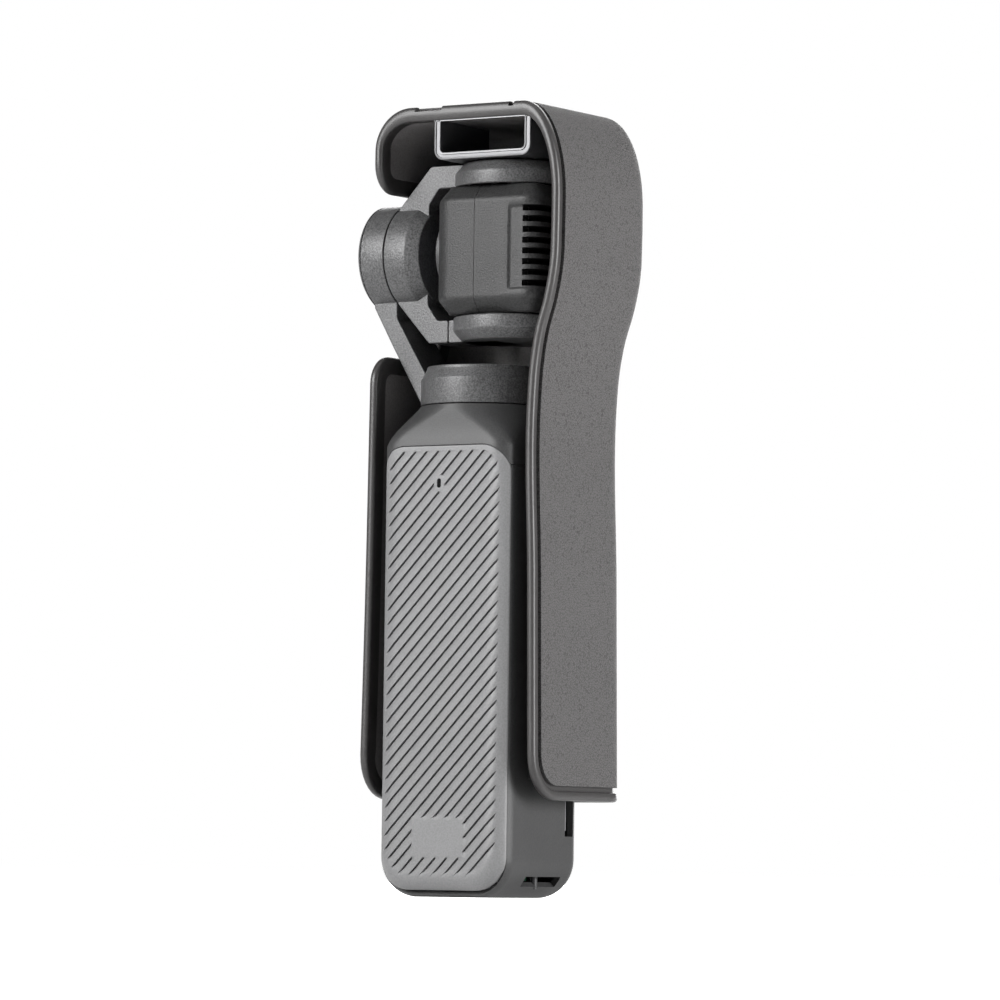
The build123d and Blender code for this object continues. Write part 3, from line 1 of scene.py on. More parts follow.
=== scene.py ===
"""Pocket gimbal camera standing in its U-shaped cover.

The CAD frame gives every body and joint. The pieces below are surfaces worked out with numpy that
stand for the CAD parts that show. Their sizes are in millimetres; piece() turns them into metres.
"""

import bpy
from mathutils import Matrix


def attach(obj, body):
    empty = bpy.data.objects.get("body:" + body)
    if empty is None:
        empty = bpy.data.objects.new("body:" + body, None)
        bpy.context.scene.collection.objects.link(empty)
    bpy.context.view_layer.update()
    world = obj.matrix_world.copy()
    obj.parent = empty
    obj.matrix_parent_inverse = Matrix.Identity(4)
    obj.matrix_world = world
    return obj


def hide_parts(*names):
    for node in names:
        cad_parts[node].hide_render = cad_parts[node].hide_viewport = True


bl_info = {
    "name": "Pocket gimbal camera",
    "version": (1, 0, 0),
    "blender": (4, 5, 0),
    "location": "View3D > Sidebar > Gimbal camera",
    "description": "Builds the visible pieces and finishes of a pocket gimbal camera in its cover",
    "category": "Object",
}

from math import cos, pi, radians, sin

import bmesh
import bpy
import numpy as np
from bpy.props import FloatProperty, FloatVectorProperty, IntProperty, PointerProperty
from mathutils import Matrix, Vector

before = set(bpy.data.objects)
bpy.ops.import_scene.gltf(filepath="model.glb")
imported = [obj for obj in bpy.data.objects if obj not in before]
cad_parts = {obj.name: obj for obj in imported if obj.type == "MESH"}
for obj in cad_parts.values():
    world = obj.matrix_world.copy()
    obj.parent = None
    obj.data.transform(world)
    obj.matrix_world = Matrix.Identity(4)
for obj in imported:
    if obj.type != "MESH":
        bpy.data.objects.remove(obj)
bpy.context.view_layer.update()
MM = 0.001
QUARTER = pi / 2
SMALLEST_EDGE = 0.0005


# Meshes from grids of points

def points(*axes):
    """Points from their coordinates, each a number or an array that broadcasts with the others."""
    return np.stack(np.broadcast_arrays(*axes), axis=-1)


def grid_faces(rows, columns, close_rows=False, close_columns=False, start=0):
    """Quads between neighbouring points of a rows by columns grid, wrapped round where it closes."""
    r = np.arange(rows if close_rows else rows - 1)
    c = np.arange(columns if close_columns else columns - 1)
    r, c = np.meshgrid(r, c, indexing="ij")
    next_r = (r + 1) % rows
    next_c = (c + 1) % columns
    corners = (r * columns + c, r * columns + next_c, next_r * columns + next_c, next_r * columns + c)
    return np.stack(corners, axis=-1).reshape(-1, 4) + start


def mesh_of(name, surfaces, merge, open_cells, facing):
    """Mesh of several surfaces, merged where they meet and with its faces turned outwards."""
    vertices, quads, fills, start = [], [], [], 0
    for surface in surfaces:
        grid = np.asarray(surface[0], dtype=float)
        flat = grid.reshape(-1, 3)
        if surface[1] == "fill":
            fills.append((np.arange(len(flat)) + start).tolist())
        else:
            quads.append(grid_faces(grid.shape[0], grid.shape[1], surface[1], surface[2], start))
        vertices.append(flat)
        start += len(flat)
    vertices = np.concatenate(vertices) * MM
    quads = np.concatenate(quads)
    if open_cells is not None:
        quads = quads[~open_cells(vertices[quads].mean(axis=1) / MM)]
    mesh = bpy.data.meshes.new(name)
    mesh.from_pydata(vertices.tolist(), [], quads.tolist() + fills)
    work = bmesh.new()
    work.from_mesh(mesh)
    bmesh.ops.remove_doubles(work, verts=work.verts, dist=merge * MM)
    bmesh.ops.dissolve_degenerate(work, edges=work.edges, dist=SMALLEST_EDGE * MM)
    bmesh.ops.recalc_face_normals(work, faces=work.faces)
    if facing is not None:
        inside = Vector(facing) * MM
        away = sum(f.normal.dot(f.calc_center_median() - inside) * f.calc_area() for f in work.faces)
        if away < 0:
            bmesh.ops.reverse_faces(work, faces=work.faces)
    work.to_mesh(mesh)
    work.free()
    return mesh


def keep_crisp(mesh, sharp):
    """Smooth shading, but for edges over sharp degrees and for the free edges of open surfaces."""
    mesh.polygons.foreach_set("use_smooth", np.ones(len(mesh.polygons), dtype=bool))
    mesh.set_sharp_from_angle(angle=radians(sharp))
    crisp = mesh.attributes.get("sharp_edge") or mesh.attributes.new("sharp_edge", "BOOLEAN", "EDGE")
    marks = np.zeros(len(mesh.edges), dtype=bool)
    crisp.data.foreach_get("value", marks)
    edge_of = np.zeros(len(mesh.loops), dtype=np.int32)
    mesh.loops.foreach_get("edge_index", edge_of)
    users = np.bincount(edge_of, minlength=len(mesh.edges))
    crisp.data.foreach_set("value", marks | (users == 1))


def piece(name, surfaces, material, body, replaces=(), sharp=32.0, merge=0.002,
          open_cells=None, facing=None, second=None):
    """One object from several grids of points in millimetres.

    Each surface is (points, close_rows, close_columns), or (outline, "fill") for a flat face.
    Coincident points are merged, faces are turned outwards and edges over sharp degrees kept crisp.
    open_cells takes the faces' middles and says which to leave out. An open surface faces away
    from the point facing. second is (material, test of the faces' middles) for a second finish.
    """
    mesh = mesh_of(name, surfaces, merge, open_cells, facing)
    keep_crisp(mesh, sharp)
    thing = bpy.data.objects.new(name, mesh)
    bpy.context.scene.collection.objects.link(thing)
    mesh.materials.append(material)
    if second is not None:
        mesh.materials.append(second[0])
        middles = np.empty(3 * len(mesh.polygons))
        mesh.polygons.foreach_get("center", middles)
        chosen = second[1](middles.reshape(-1, 3) / MM)
        mesh.polygons.foreach_set("material_index", chosen.astype(np.int32))
    if replaces:
        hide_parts(*replaces)
    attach(thing, body)
    return thing


def thicken(thing, thickness):
    """Live wall inwards from a one-sided surface."""
    wall = thing.modifiers.new("wall", "SOLIDIFY")
    wall.thickness = thickness * MM
    wall.offset = -1.0


# Materials, all on Object coordinates

GRAIN_SCALE = 3000.0
GRAIN_HEIGHT = 0.00008
PEBBLE_SCALE = 2100.0
PEBBLE_HEIGHT = 0.00009


def set_inputs(tree, node, inputs):
    """Gives each input of a node a value, or a link where an output is given."""
    for key, value in inputs.items():
        if isinstance(value, bpy.types.NodeSocket):
            tree.links.new(value, node.inputs[key])
        else:
            node.inputs[key].default_value = value


def add_node(tree, kind, inputs, **attributes):
    """New node with its attributes and inputs set; returns its outputs."""
    node = tree.nodes.new(kind)
    for name, value in attributes.items():
        setattr(node, name, value)
    set_inputs(tree, node, inputs)
    return node.outputs


def blank_material(name):
    """New node material, its tree and its Principled shader."""
    material = bpy.data.materials.new(name)
    material.use_nodes = True
    return material, material.node_tree, material.node_tree.nodes["Principled BSDF"]


def textured_material():
    """Blank material and its Object coordinates; finishes() names it."""
    material, tree, shader = blank_material("finish")
    return material, tree, shader, add_node(tree, "ShaderNodeTexCoord", {})["Object"]


def noise(tree, place, scale, detail, roughness=0.5):
    """Noise texture at a place."""
    inputs = {"Scale": scale, "Detail": detail, "Roughness": roughness, "Vector": place}
    return add_node(tree, "ShaderNodeTexNoise", inputs)["Fac"]


def spread(tree, value, lowest, highest):
    """Value from 0 to 1 spread from the lowest to the highest."""
    inputs = {"Value": value, "To Min": lowest, "To Max": highest}
    return add_node(tree, "ShaderNodeMapRange", inputs)["Result"]


def relief(tree, height, strength, distance):
    """Normal of a small relief."""
    inputs = {"Height": height, "Strength": strength, "Distance": distance}
    return add_node(tree, "ShaderNodeBump", inputs)["Normal"]


def ramp(tree, value, *stops):
    """Colour ramp through two (position, colour) stops."""
    node = tree.nodes.new("ShaderNodeValToRGB")
    for element, (position, colour) in zip(node.color_ramp.elements, stops):
        element.position = position
        element.color = (*colour, 1.0)
    tree.links.new(value, node.inputs["Fac"])
    return node.outputs["Color"]


def shade(colour, factor):
    """The colour made lighter or darker by a factor."""
    return tuple(min(1.0, channel * factor) for channel in colour)


def moulded(colour, roughness, bump=0.3, variation=0.16, metallic=0.0, coat=0.0, shine=0.3):
    """Moulded or painted surface: fine grain in relief, gloss and tone, and a faint cloudiness."""
    material, tree, shader, place = textured_material()
    cloud = noise(tree, place, 90.0, 3.0)
    fine = noise(tree, place, GRAIN_SCALE, 2.0, 0.6)
    parts = {0: cloud, 1: 0.25, 2: fine}
    tone = add_node(tree, "ShaderNodeMath", parts, operation="MULTIPLY_ADD")["Value"]
    darker, lighter = shade(colour, 1 - variation), shade(colour, 1 + variation)
    set_inputs(tree, shader, {
        "Base Color": ramp(tree, tone, (0.47, darker), (0.78, lighter)),
        "Roughness": spread(tree, fine, roughness - 0.05, roughness + 0.05),
        "Normal": relief(tree, fine, bump, GRAIN_HEIGHT),
        "Metallic": metallic,
        "Coat Weight": coat,
        "Specular IOR Level": shine,
    })
    return material


def leatherette(colour, roughness):
    """Textured skin: small irregular pebbles with fine creases between them, darker in colour in the creases
    as painted shade.
    """
    material, tree, shader, place = textured_material()
    warp = add_node(tree, "ShaderNodeTexNoise", {"Scale": 700.0, "Vector": place})["Color"]
    parts = {"Factor": 0.0006, "A": place, "B": warp}
    warped = add_node(tree, "ShaderNodeMix", parts, data_type="VECTOR")["Result"]
    parts = {"Scale": PEBBLE_SCALE, "Vector": warped}
    edge = add_node(tree, "ShaderNodeTexVoronoi", parts, feature="DISTANCE_TO_EDGE")["Distance"]
    parts = {"From Max": 0.22, "Value": edge}
    pebble = add_node(tree, "ShaderNodeMapRange", parts, interpolation_type="SMOOTHSTEP")["Result"]
    parts = {0: noise(tree, place, 7000.0, 2.0), 1: 0.35, 2: pebble}
    height = add_node(tree, "ShaderNodeMath", parts, operation="MULTIPLY_ADD")["Value"]
    # The colour darkens in the creases: painted shade, on top of the bump's own shading.
    set_inputs(tree, shader, {
        "Base Color": ramp(tree, pebble, (0.0, shade(colour, 0.5)), (0.8, shade(colour, 1.1))),
        "Roughness": roughness,
        "Normal": relief(tree, height, 0.55, PEBBLE_HEIGHT),
        "Specular IOR Level": 0.18,
    })
    return material


def glassy(colour, roughness=0.06):
    """Dark coated glass with a clear, glossy face and faint smudges."""
    material, tree, shader, place = textured_material()
    smudge = noise(tree, place, 120.0, 4.0)
    set_inputs(tree, shader, {
        "Base Color": ramp(tree, smudge, (0.3, shade(colour, 0.9)), (0.7, shade(colour, 1.1))),
        "Roughness": spread(tree, smudge, roughness, roughness + 0.05),
        "Coat Weight": 0.5,
    })
    return material


def bare_metal(colour, roughness=0.3):
    """Metal with fine turning or brushing marks that vary its gloss."""
    material, tree, shader, place = textured_material()
    marks = noise(tree, place, 900.0, 5.0, 0.7)
    set_inputs(tree, shader, {
        "Base Color": ramp(tree, marks, (0.3, shade(colour, 0.88)), (0.7, shade(colour, 1.05))),
        "Roughness": spread(tree, marks, roughness - 0.08, roughness + 0.1),
        "Metallic": 1.0,
    })
    return material


class FinishSettings(bpy.types.PropertyGroup):
    case: FloatVectorProperty(
        name="Case", description="Colour of the moulded handle and head", subtype="COLOR",
        size=3, min=0.0, max=1.0, default=(0.036, 0.036, 0.0365),
    )
    arm: FloatVectorProperty(
        name="Arms", description="Colour of the blasted metal arms", subtype="COLOR",
        size=3, min=0.0, max=1.0, default=(0.066, 0.066, 0.067),
    )
    skin: FloatVectorProperty(
        name="Cover skin", description="Colour of the cover's textured skin", subtype="COLOR",
        size=3, min=0.0, max=1.0, default=(0.062, 0.060, 0.060),
    )
    rim: FloatVectorProperty(
        name="Cover rim", description="Colour of the cover's smooth rim band", subtype="COLOR",
        size=3, min=0.0, max=1.0, default=(0.040, 0.038, 0.038),
    )
    dark: FloatVectorProperty(
        name="Dark parts", description="Colour of the black front and lens parts", subtype="COLOR",
        size=3, min=0.0, max=1.0, default=(0.016, 0.016, 0.017),
    )


def finishes():
    """All finishes by name, made once from the finish settings."""
    prefix = "fin_"
    found = {m.name.removeprefix(prefix): m for m in bpy.data.materials if m.name.startswith(prefix)}
    if found:
        return found
    look = bpy.context.scene.gimbal_finish
    case, arm, skin, rim, dark = (getattr(look, key)[:] for key in ("case", "arm", "skin", "rim", "dark"))
    made = {
        "case": moulded(shade(case, 0.7), 0.46, shine=0.25),
        "grip": moulded(shade(case, 3.1), 0.45, variation=0.1),
        "front": moulded(dark, 0.38),
        "head": moulded(shade(case, 0.35), 0.46, bump=0.9, variation=0.5, shine=0.24),
        "arm": moulded(shade(arm, 0.85), 0.42, bump=0.6, variation=0.4, metallic=0.25, shine=0.24),
        "rim": moulded(shade(rim, 0.65), 0.36, bump=0.12),
        "skin": leatherette(skin, 0.66),
        "liner": moulded(shade(rim, 2.8), 0.6, bump=0.05),
        "stop": moulded(shade(dark, 2.2), 0.35, metallic=0.2),
        "stop_edge": bare_metal((0.085, 0.085, 0.087), 0.42),
        "black": moulded(dark, 0.45),
        # Near-black painted shade in the cooling slots and in the microphone slot.
        "void": moulded((0.003, 0.003, 0.003), 0.9, variation=0.02, shine=0.05),
        "rubber": moulded(dark, 0.75, bump=0.1),
        "glass": glassy((0.006, 0.006, 0.008)),
        "lens": glassy((0.015, 0.02, 0.04), 0.03),
        "red": moulded((0.55, 0.015, 0.012), 0.3, coat=0.4),
        "steel": bare_metal((0.58, 0.58, 0.59)),
        "copper": bare_metal((0.72, 0.40, 0.24), 0.35),
        "gold": bare_metal((0.85, 0.62, 0.26), 0.25),
        "board": moulded((0.01, 0.07, 0.035), 0.4),
        "wrap": moulded((0.02, 0.03, 0.06), 0.35),
        "guide": moulded((0.75, 0.78, 0.74), 0.2, variation=0.02),
        "card": moulded((0.10, 0.10, 0.105), 0.5),
    }
    for name, material in made.items():
        material.name = prefix + name
    return made


NODE_FINISH = {
    "case": ("side_frame", "shoulder_housing"),
    "grip": ("grip_panel",),
    "front": ("front_panel",),
    "head": ("head_front_shell", "head_rear_shell"),
    "arm": ("pan_arm", "roll_end_cap", "roll_fork", "tilt_motor_housing"),
    "rim": ("cover_frame",),
    "skin": ("cover_skin",),
    "stop": ("head_stop",),
    "rubber": ("cover_pads", "joystick_cap"),
    "black": (
        "screen_shell", "record_button", "joystick_base", "outer_rocker", "inner_rocker",
        "lens_barrel", "lens_ring", "head_heat_sink", "speaker", "lanyard_pin", "tilt_rotor",
    ),
    "glass": ("screen_glass", "display_panel"),
    "lens": ("front_glass", "lens_elements"),
    "red": ("record_dot",),
    "steel": (
        "inner_chassis", "usb_port", "card_socket", "microphones", "chassis_screws", "pan_bearings",
        "screen_clip", "pan_rotor", "pan_shaft", "roll_bearings", "roll_rotor",
        "roll_shaft", "tilt_bearings", "tilt_shafts", "head_screws",
    ),
    "copper": ("heat_spreader", "pan_stator", "roll_stator", "tilt_stator"),
    "gold": ("base_contacts", "screen_bush"),
    "board": ("main_board", "button_board", "sensor_board"),
    "wrap": ("battery_cell",),
    "guide": ("status_light",),
    "card": ("memory_card",),
}


class GIMBAL_OT_cad_finishes(bpy.types.Operator):
    """Give every CAD part its finish"""

    bl_idname = "gimbal.cad_finishes"
    bl_label = "Finish CAD parts"

    def execute(self, context):
        made = finishes()
        for finish, nodes in NODE_FINISH.items():
            for node in nodes:
                for material_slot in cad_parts[node].material_slots:
                    material_slot.material = made[finish]
        return {"FINISHED"}


# Outlines and turned forms

END_HOLD = 0.08


def rounded_rect(x, y, corner_low, corner_high, arc=8, side=6):
    """Closed outline of a rectangle x = (low, high), y = (low, high).

    Its two low corners have the radius corner_low and its two high ones corner_high. It runs
    anticlockwise from the middle of the low side.
    """
    turn = np.linspace(0, QUARTER, arc + 1)
    middle = (x[0] + x[1]) / 2
    parts = []
    corners = (
        (x[1], y[0], corner_low, -QUARTER), (x[1], y[1], corner_high, 0.0),
        (x[0], y[1], corner_high, QUARTER), (x[0], y[0], corner_low, pi),
    )
    for cx, cy, r, start in corners:
        centre = np.array([cx - r if cx > middle else cx + r, cy + r if cy == y[0] else cy - r])
        parts.append(centre + r * points(np.cos(turn + start), np.sin(turn + start)))
    outline = []
    share = np.linspace(0, 1, side + 2)[1:-1, None]
    for part, following in zip(parts, parts[1:] + parts[:1]):
        outline += [part, part[-1] + (following[0] - part[-1]) * share]
    return np.concatenate(outline)


def normals_of(outline, closed=True):
    """Unit normals of a plane outline, to the right of its direction."""
    if closed:
        step = np.roll(outline, -1, axis=0) - np.roll(outline, 1, axis=0)
    else:
        step = np.gradient(outline, axis=0)
    step /= np.maximum(np.linalg.norm(step, axis=1, keepdims=True), 1e-9)
    return points(step[:, 1], -step[:, 0])


def normals_away(path, centre):
    """Unit normals of an open plane path, turned away from a point."""
    normal = normals_of(path, closed=False)
    return normal * np.sign(np.sum(normal * (path - centre), axis=1))[:, None]


def eased(corners, radius, steps=4):
    """A profile's corners with each inner one rounded by a short arc-like curve.

    Between the points one radius before and after a corner it is the parabola
    (1 - t)^2 a + 2 t (1 - t) corner + t^2 b.
    """
    corners = np.asarray(corners, dtype=float)
    before, corner, after = corners[:-2], corners[1:-1], corners[2:]
    back, ahead = before - corner, after - corner
    back_length = np.linalg.norm(back, axis=1, keepdims=True)
    ahead_length = np.linalg.norm(ahead, axis=1, keepdims=True)
    a = corner + back / back_length * np.minimum(radius, 0.45 * back_length)
    b = corner + ahead / ahead_length * np.minimum(radius, 0.45 * ahead_length)
    t = np.linspace(0, 1, steps + 1)[None, :, None]
    bends = (1 - t) ** 2 * a[:, None] + 2 * t * (1 - t) * corner[:, None] + t ** 2 * b[:, None]
    return np.concatenate([corners[:1], bends.reshape(-1, 2), corners[-1:]])


def turned(profile, centre, axis, steps=128):
    """Surface of a profile of (radius, place along the axis) turned round an axis through centre."""
    angle = np.linspace(0, 2 * pi, steps, endpoint=False)
    radius, along = np.asarray(profile).T[:, :, None]
    one, two = radius * np.cos(angle), radius * np.sin(angle)
    if axis == "Z":
        grid = points(centre[0] + one, centre[1] + two, along)
    else:
        grid = points(along, centre[1] + one, centre[2] + two)
    return [(grid, False, True)]


def prism(outline, across, ease, steps=4):
    """Closed surfaces of an outline in (X, Z) carried across Y, its end edges rounded by ease.

    Rows go from one end face to the other: the outline moved inwards by ease (1 - sin t) while the
    depth runs by ease (1 - cos t), with one more row in each end face that keeps it flat.
    """
    outline = np.asarray(outline, dtype=float)
    following = np.roll(outline, -1, axis=0)
    if np.sum(outline[:, 0] * following[:, 1] - outline[:, 1] * following[:, 0]) < 0:
        outline = outline[::-1]
    t = np.linspace(0, QUARTER, steps + 1)
    bend = np.append(ease + END_HOLD, ease * (1 - np.sin(t)))
    fall = np.append(0.0, ease * (1 - np.cos(t)))
    inset = np.concatenate([bend, bend[::-1]])
    depth = np.concatenate([across[0] + fall, across[1] - fall[::-1]])
    rows = outline - normals_of(outline) * inset[:, None, None]
    grid = points(rows[..., 0], depth[:, None], rows[..., 1])
    return [(grid, False, True), (grid[0], "fill"), (grid[-1], "fill")]


def dense(corners, ease, spacing=1.5):
    """Closed outline through corners, each rounded by ease and its sides cut into short steps."""
    corners = np.asarray(corners, dtype=float)
    ring = np.concatenate([corners[-1:], corners, corners[:1]])
    bends = eased(ring, ease)[1:-1]
    following = np.roll(bends, -1, axis=0)
    lengths = np.linalg.norm(following - bends, axis=1)
    outline = []
    for start, end, length in zip(bends, following, lengths):
        count = max(1, int(length / spacing))
        outline.append(start + (end - start) * np.linspace(0, 1, count, endpoint=False)[:, None])
    return np.concatenate(outline)


def smooth(value, low, high):
    """Smooth step from 0 at low to 1 at high."""
    t = np.clip((value - low) / (high - low), 0, 1)
    return t * t * (3 - 2 * t)


def circle_fall(radius, distance):
    """How far a quarter circle falls back at a distance from its edge."""
    reach = radius - np.clip(distance, 0, radius)
    return radius - np.sqrt(np.maximum(radius ** 2 - reach ** 2, 0.0))


# Handle

HANDLE = np.array([29.1, 28.1]) / 2
EDGE = 4.0
FOOT_CORNER = 7.5
SEAM_BACK = 12.05
SEAM_FRONT = -12.85
GRIP_HALF = 14.01
GRIP_FOOT = 1.3
GRIP_TOP = 85.22
FIELD_HALF = 12.2
FIELD_TOP = 84.3
MIC_X, MIC_Z = 0.84, 78.1
SLIT_ROWS = (0.34, 0.25, 0.05, 0.02)
SIDE_STEPS = np.array([
    0.0, 0.0, 0.05, 0.12, 0.22, 0.4, 0.7, 1.0, 1.2, 1.28, 1.38, 1.5, 1.8, 2.2, 2.9, 3.7, 4.6, 5.6,
])


def box_distance(x, z, half_x, low_z, high_z, corner):
    """Distance inwards from a rectangle with rounded low corners; positive inside."""
    middle, half_z = (low_z + high_z) / 2, (high_z - low_z) / 2
    r = np.where(z < middle, corner, 0.01)
    qx, qz = np.abs(x) - half_x + r, np.abs(z - middle) - half_z + r
    outside = np.hypot(np.maximum(qx, 0), np.maximum(qz, 0)) + np.minimum(np.maximum(qx, qz), 0)
    return r - outside


def plain_back(x, z):
    """Y of the handle's back without grooves: flat, with a quarter circle round its edge."""
    return HANDLE[1] - circle_fall(EDGE, box_distance(x, z, HANDLE[0], 0.0, 120.0, FOOT_CORNER))


class GripSettings(bpy.types.PropertyGroup):
    pitch: FloatProperty(
        name="Groove pitch", description="Between grooves, square to them, in mm", default=1.85, min=0.5,
    )
    angle: FloatProperty(
        name="Groove angle", description="Climb of the grooves", unit="ROTATION", default=radians(46),
    )
    depth: FloatProperty(
        name="Groove depth", description="Deepest point of a groove, in mm", default=0.62, min=0.0,
    )
    width: FloatProperty(
        name="Groove width", description="Of the slanted face below each step, in mm", default=1.25,
    )


class GIMBAL_OT_grip(bpy.types.Operator):
    """Back grip panel with its slanted sawtooth grooves, their slits and the microphone slot painted dark as
    painted shade
    """

    bl_idname = "gimbal.grip"
    bl_label = "Grip panel"

    def execute(self, context):
        made = finishes()
        look = context.scene.gimbal_grip
        grid = grip_grid(look.pitch, look.angle, look.depth, look.width)
        # The slits at the grooves' feet take the black finish: painted shade in the slits.
        panel = piece(
            "grip", [(grid, False, False)], made["grip"], "handle", ("grip_panel",), 40.0,
            second=(made["black"], lambda middles: in_slit_shade(middles, look.pitch, look.angle, look.depth)),
        )
        if len(panel.data.polygons) < 1000:
            raise RuntimeError("the grip panel came out empty")
        hole = rounded_rect((MIC_X - 0.45, MIC_X + 0.45), (MIC_Z - 0.9, MIC_Z + 0.9), 0.44, 0.44, 6, 1)
        # A near-black plug in the microphone slot: painted shade in the hole.
        piece("mic_slot", prism(hole, (13.2, 14.075), 0.02), made["void"], "handle")
        return {"FINISHED"}


def in_slit_shade(middles, pitch, angle, depth):
    """Which points of the grip lie in the slit at the foot of a groove, painted black there as painted
    shade.
    """
    x, y, z = middles.T
    place = x * sin(angle) + z * cos(angle) - (HANDLE[0] * sin(angle) + GRIP_FOOT * cos(angle))
    g = pitch - np.mod(place, pitch)
    deep = plain_back(x, z) - y > 0.5 * depth
    return deep & (g < 0.36) & (z > 4.0) & (z < 84.2) & (np.abs(x) < 12.3)


def groove_mask(x, z):
    """From 1 in the grooves to 0 at the sides, the top, the microphone and the plain field below."""
    sides = box_distance(x, z, FIELD_HALF, 4.5, FIELD_TOP, 5.5)
    corner = 4.2
    past_x = np.maximum(np.abs(x) - FIELD_HALF + corner, 0)
    top = corner - np.hypot(past_x, np.maximum(z - FIELD_TOP + corner, 0))
    plain = np.maximum(np.abs(x - 0.25) - 5.75, np.abs(z - 11.25) - 3.75)
    mic = np.hypot(x - MIC_X, np.maximum(np.abs(z - MIC_Z) - 0.45, 0)) - 1.2
    return smooth(sides, 0, 0.35) * smooth(top, 0, 0.12) * smooth(plain, 0, 0.3) * smooth(mic, 0, 0.2)


def grip_grid(pitch, angle, depth, width):
    """Points of the grip panel.

    Rows lie along the grooves, at places p square to them, with several rows to a groove; columns
    run from one side of the outline to the other. Y is the plain back less a relief, which is
    depth (0.55 (1 - g / width) + 0.45 in a slit at the foot) for g = pitch - p modulo pitch, under
    groove_mask; the panel's own edge is rolled by 0.25.
    """
    outline = rounded_rect((-GRIP_HALF, GRIP_HALF), (GRIP_FOOT, GRIP_TOP), 6.5, 5.2, 16, 60)
    across = np.array([sin(angle), cos(angle)])
    along = np.array([-cos(angle), sin(angle)])
    p, q = outline @ across, outline @ along
    origin = np.array([HANDLE[0], GRIP_FOOT]) @ across
    first, last = int(np.argmin(p)), int(np.argmax(p))
    ring = np.roll(np.arange(len(p)), -first)
    split = int(np.where(ring == last)[0][0])
    chains = ring[:split + 1], np.append(ring[split:], first)[::-1]
    shares = np.concatenate([[0.0, 0.03, 0.1], pitch - np.array([width, 0.6 * width, *SLIT_ROWS])])
    numbers = np.arange(np.floor((p.min() - origin) / pitch), np.ceil((p.max() - origin) / pitch))
    starts = origin + pitch * numbers
    rows = np.sort(np.concatenate([(starts[:, None] + shares).ravel(), [p.min(), p.max()]]))
    rows = rows[(rows >= p.min()) & (rows <= p.max())]
    sides = np.stack([np.interp(rows, p[chain], q[chain]) for chain in chains])
    rows, low_q, high_q = rows[:, None], sides.min(axis=0)[:, None], sides.max(axis=0)[:, None]
    length = high_q - low_q
    reach = np.minimum(SIDE_STEPS, length * 0.45 * SIDE_STEPS / SIDE_STEPS[-1])
    inner = np.linspace(0, 1, 72)[1:-1]
    middle = low_q + reach[:, -1:] + (length - 2 * reach[:, -1:]) * inner
    q = np.concatenate([low_q + reach, middle, (high_q - reach)[:, ::-1]], axis=1)
    x = rows * across[0] + q * along[0]
    z = rows * across[1] + q * along[1]
    g = pitch - np.mod(rows - origin, pitch)
    saw = 0.55 * np.clip(1 - g / width, 0, 1) + 0.45 * smooth(-g, -SLIT_ROWS[0], -SLIT_ROWS[1])
    relief = depth * (saw * smooth(g, SLIT_ROWS[3], SLIT_ROWS[2])) * groove_mask(x, z)
    border = np.minimum(q - low_q, high_q - q)
    rim = np.minimum(border, np.minimum(rows - p.min(), p.max() - rows))
    y = plain_back(x, z) + 0.02 - relief - circle_fall(0.25, rim)
    y[:, [0, -1]] = SEAM_BACK - 0.2
    y[[0, -1]] = SEAM_BACK - 0.2
    return points(x, y, z)


class GIMBAL_OT_case(bpy.types.Operator):
    """Handle case: shoulder with its smooth neck, and the side frame with its slots"""

    bl_idname = "gimbal.case"
    bl_label = "Handle case"

    def execute(self, context):
        made = finishes()
        shoulder_piece(made)
        frame_piece(made)
        return {"FINISHED"}


SHOULDER_FOOT = 84.0
SHOULDER_RISE = 9.3
SHOULDER_JOINT = 81.4
NECK = 12.0
SHOULDER_CUBIC = np.polyfit([0.0, 0.3, 0.7, 1.0], [0.0, 0.1, 0.6, 1.0], 3)


def shoulder_blend(share):
    """Share of the neck's size at a share of the shoulder's rise."""
    return np.where(share > 0, np.polyval(SHOULDER_CUBIC, np.clip(share, 0, 1)), 0.0)


def shoulder_piece(made):
    """Shoulder lofted from the handle's rounded rectangle to the round neck.

    Its size follows half * (1 - b) + neck * b, with b the cubic through the shares 0, 0.1, 0.6, 1 at
    0, 0.3, 0.7 and 1 of the rise, so it leaves the sides softly and meets the neck in a soft bend.
    The foot of each column follows the panels' arched top.
    """
    share = np.concatenate([[-0.28, -0.14], np.linspace(0, 1, 30)])
    heights = SHOULDER_FOOT + share * SHOULDER_RISE
    blend = shoulder_blend(share)
    plan = []
    for b in blend:
        half_x, half_y = HANDLE * (1 - b) + NECK * b
        corner = EDGE * (1 - b) + (NECK - 0.02) * b
        plan.append(rounded_rect((-half_x, half_x), (-half_y, half_y), corner, corner, 12, 14))
    x, y = np.moveaxis(np.stack(plan), -1, 0)
    arch_x, arch_z, arch_r = 8.81, 80.02, 5.2
    arch = arch_z + np.sqrt(np.maximum(arch_r ** 2 - np.maximum(np.abs(x[0]) - arch_x, 0) ** 2, 0))
    at_panel = (y[0] > SEAM_BACK) | (y[0] < SEAM_FRONT)
    start = np.where(at_panel, np.maximum(arch + 0.08, SHOULDER_JOINT), SHOULDER_JOINT)
    climb = (heights[:, None] - heights[0]) / (heights[-1] - heights[0])
    z = start + climb * (heights[-1] - start)
    wanted = shoulder_blend((z - SHOULDER_FOOT) / SHOULDER_RISE)

    def at_height(side):
        columns = [np.interp(b, blend, given) for b, given in zip(wanted.T, side.T)]
        return np.stack(columns, axis=-1)

    grid = points(at_height(x), at_height(y), z)
    inward, lip, crown = grid[0] * (0.93, 0.93, 1), grid[0] * (0.996, 0.996, 1), grid[-1] * (0.8, 0.8, 1)
    grid[0, :, 2] += 0.06
    surface = np.concatenate([[inward, lip], grid, [crown]]), False, True
    piece("shoulder", [surface], made["case"], "handle", ("shoulder_housing",), 38.0)


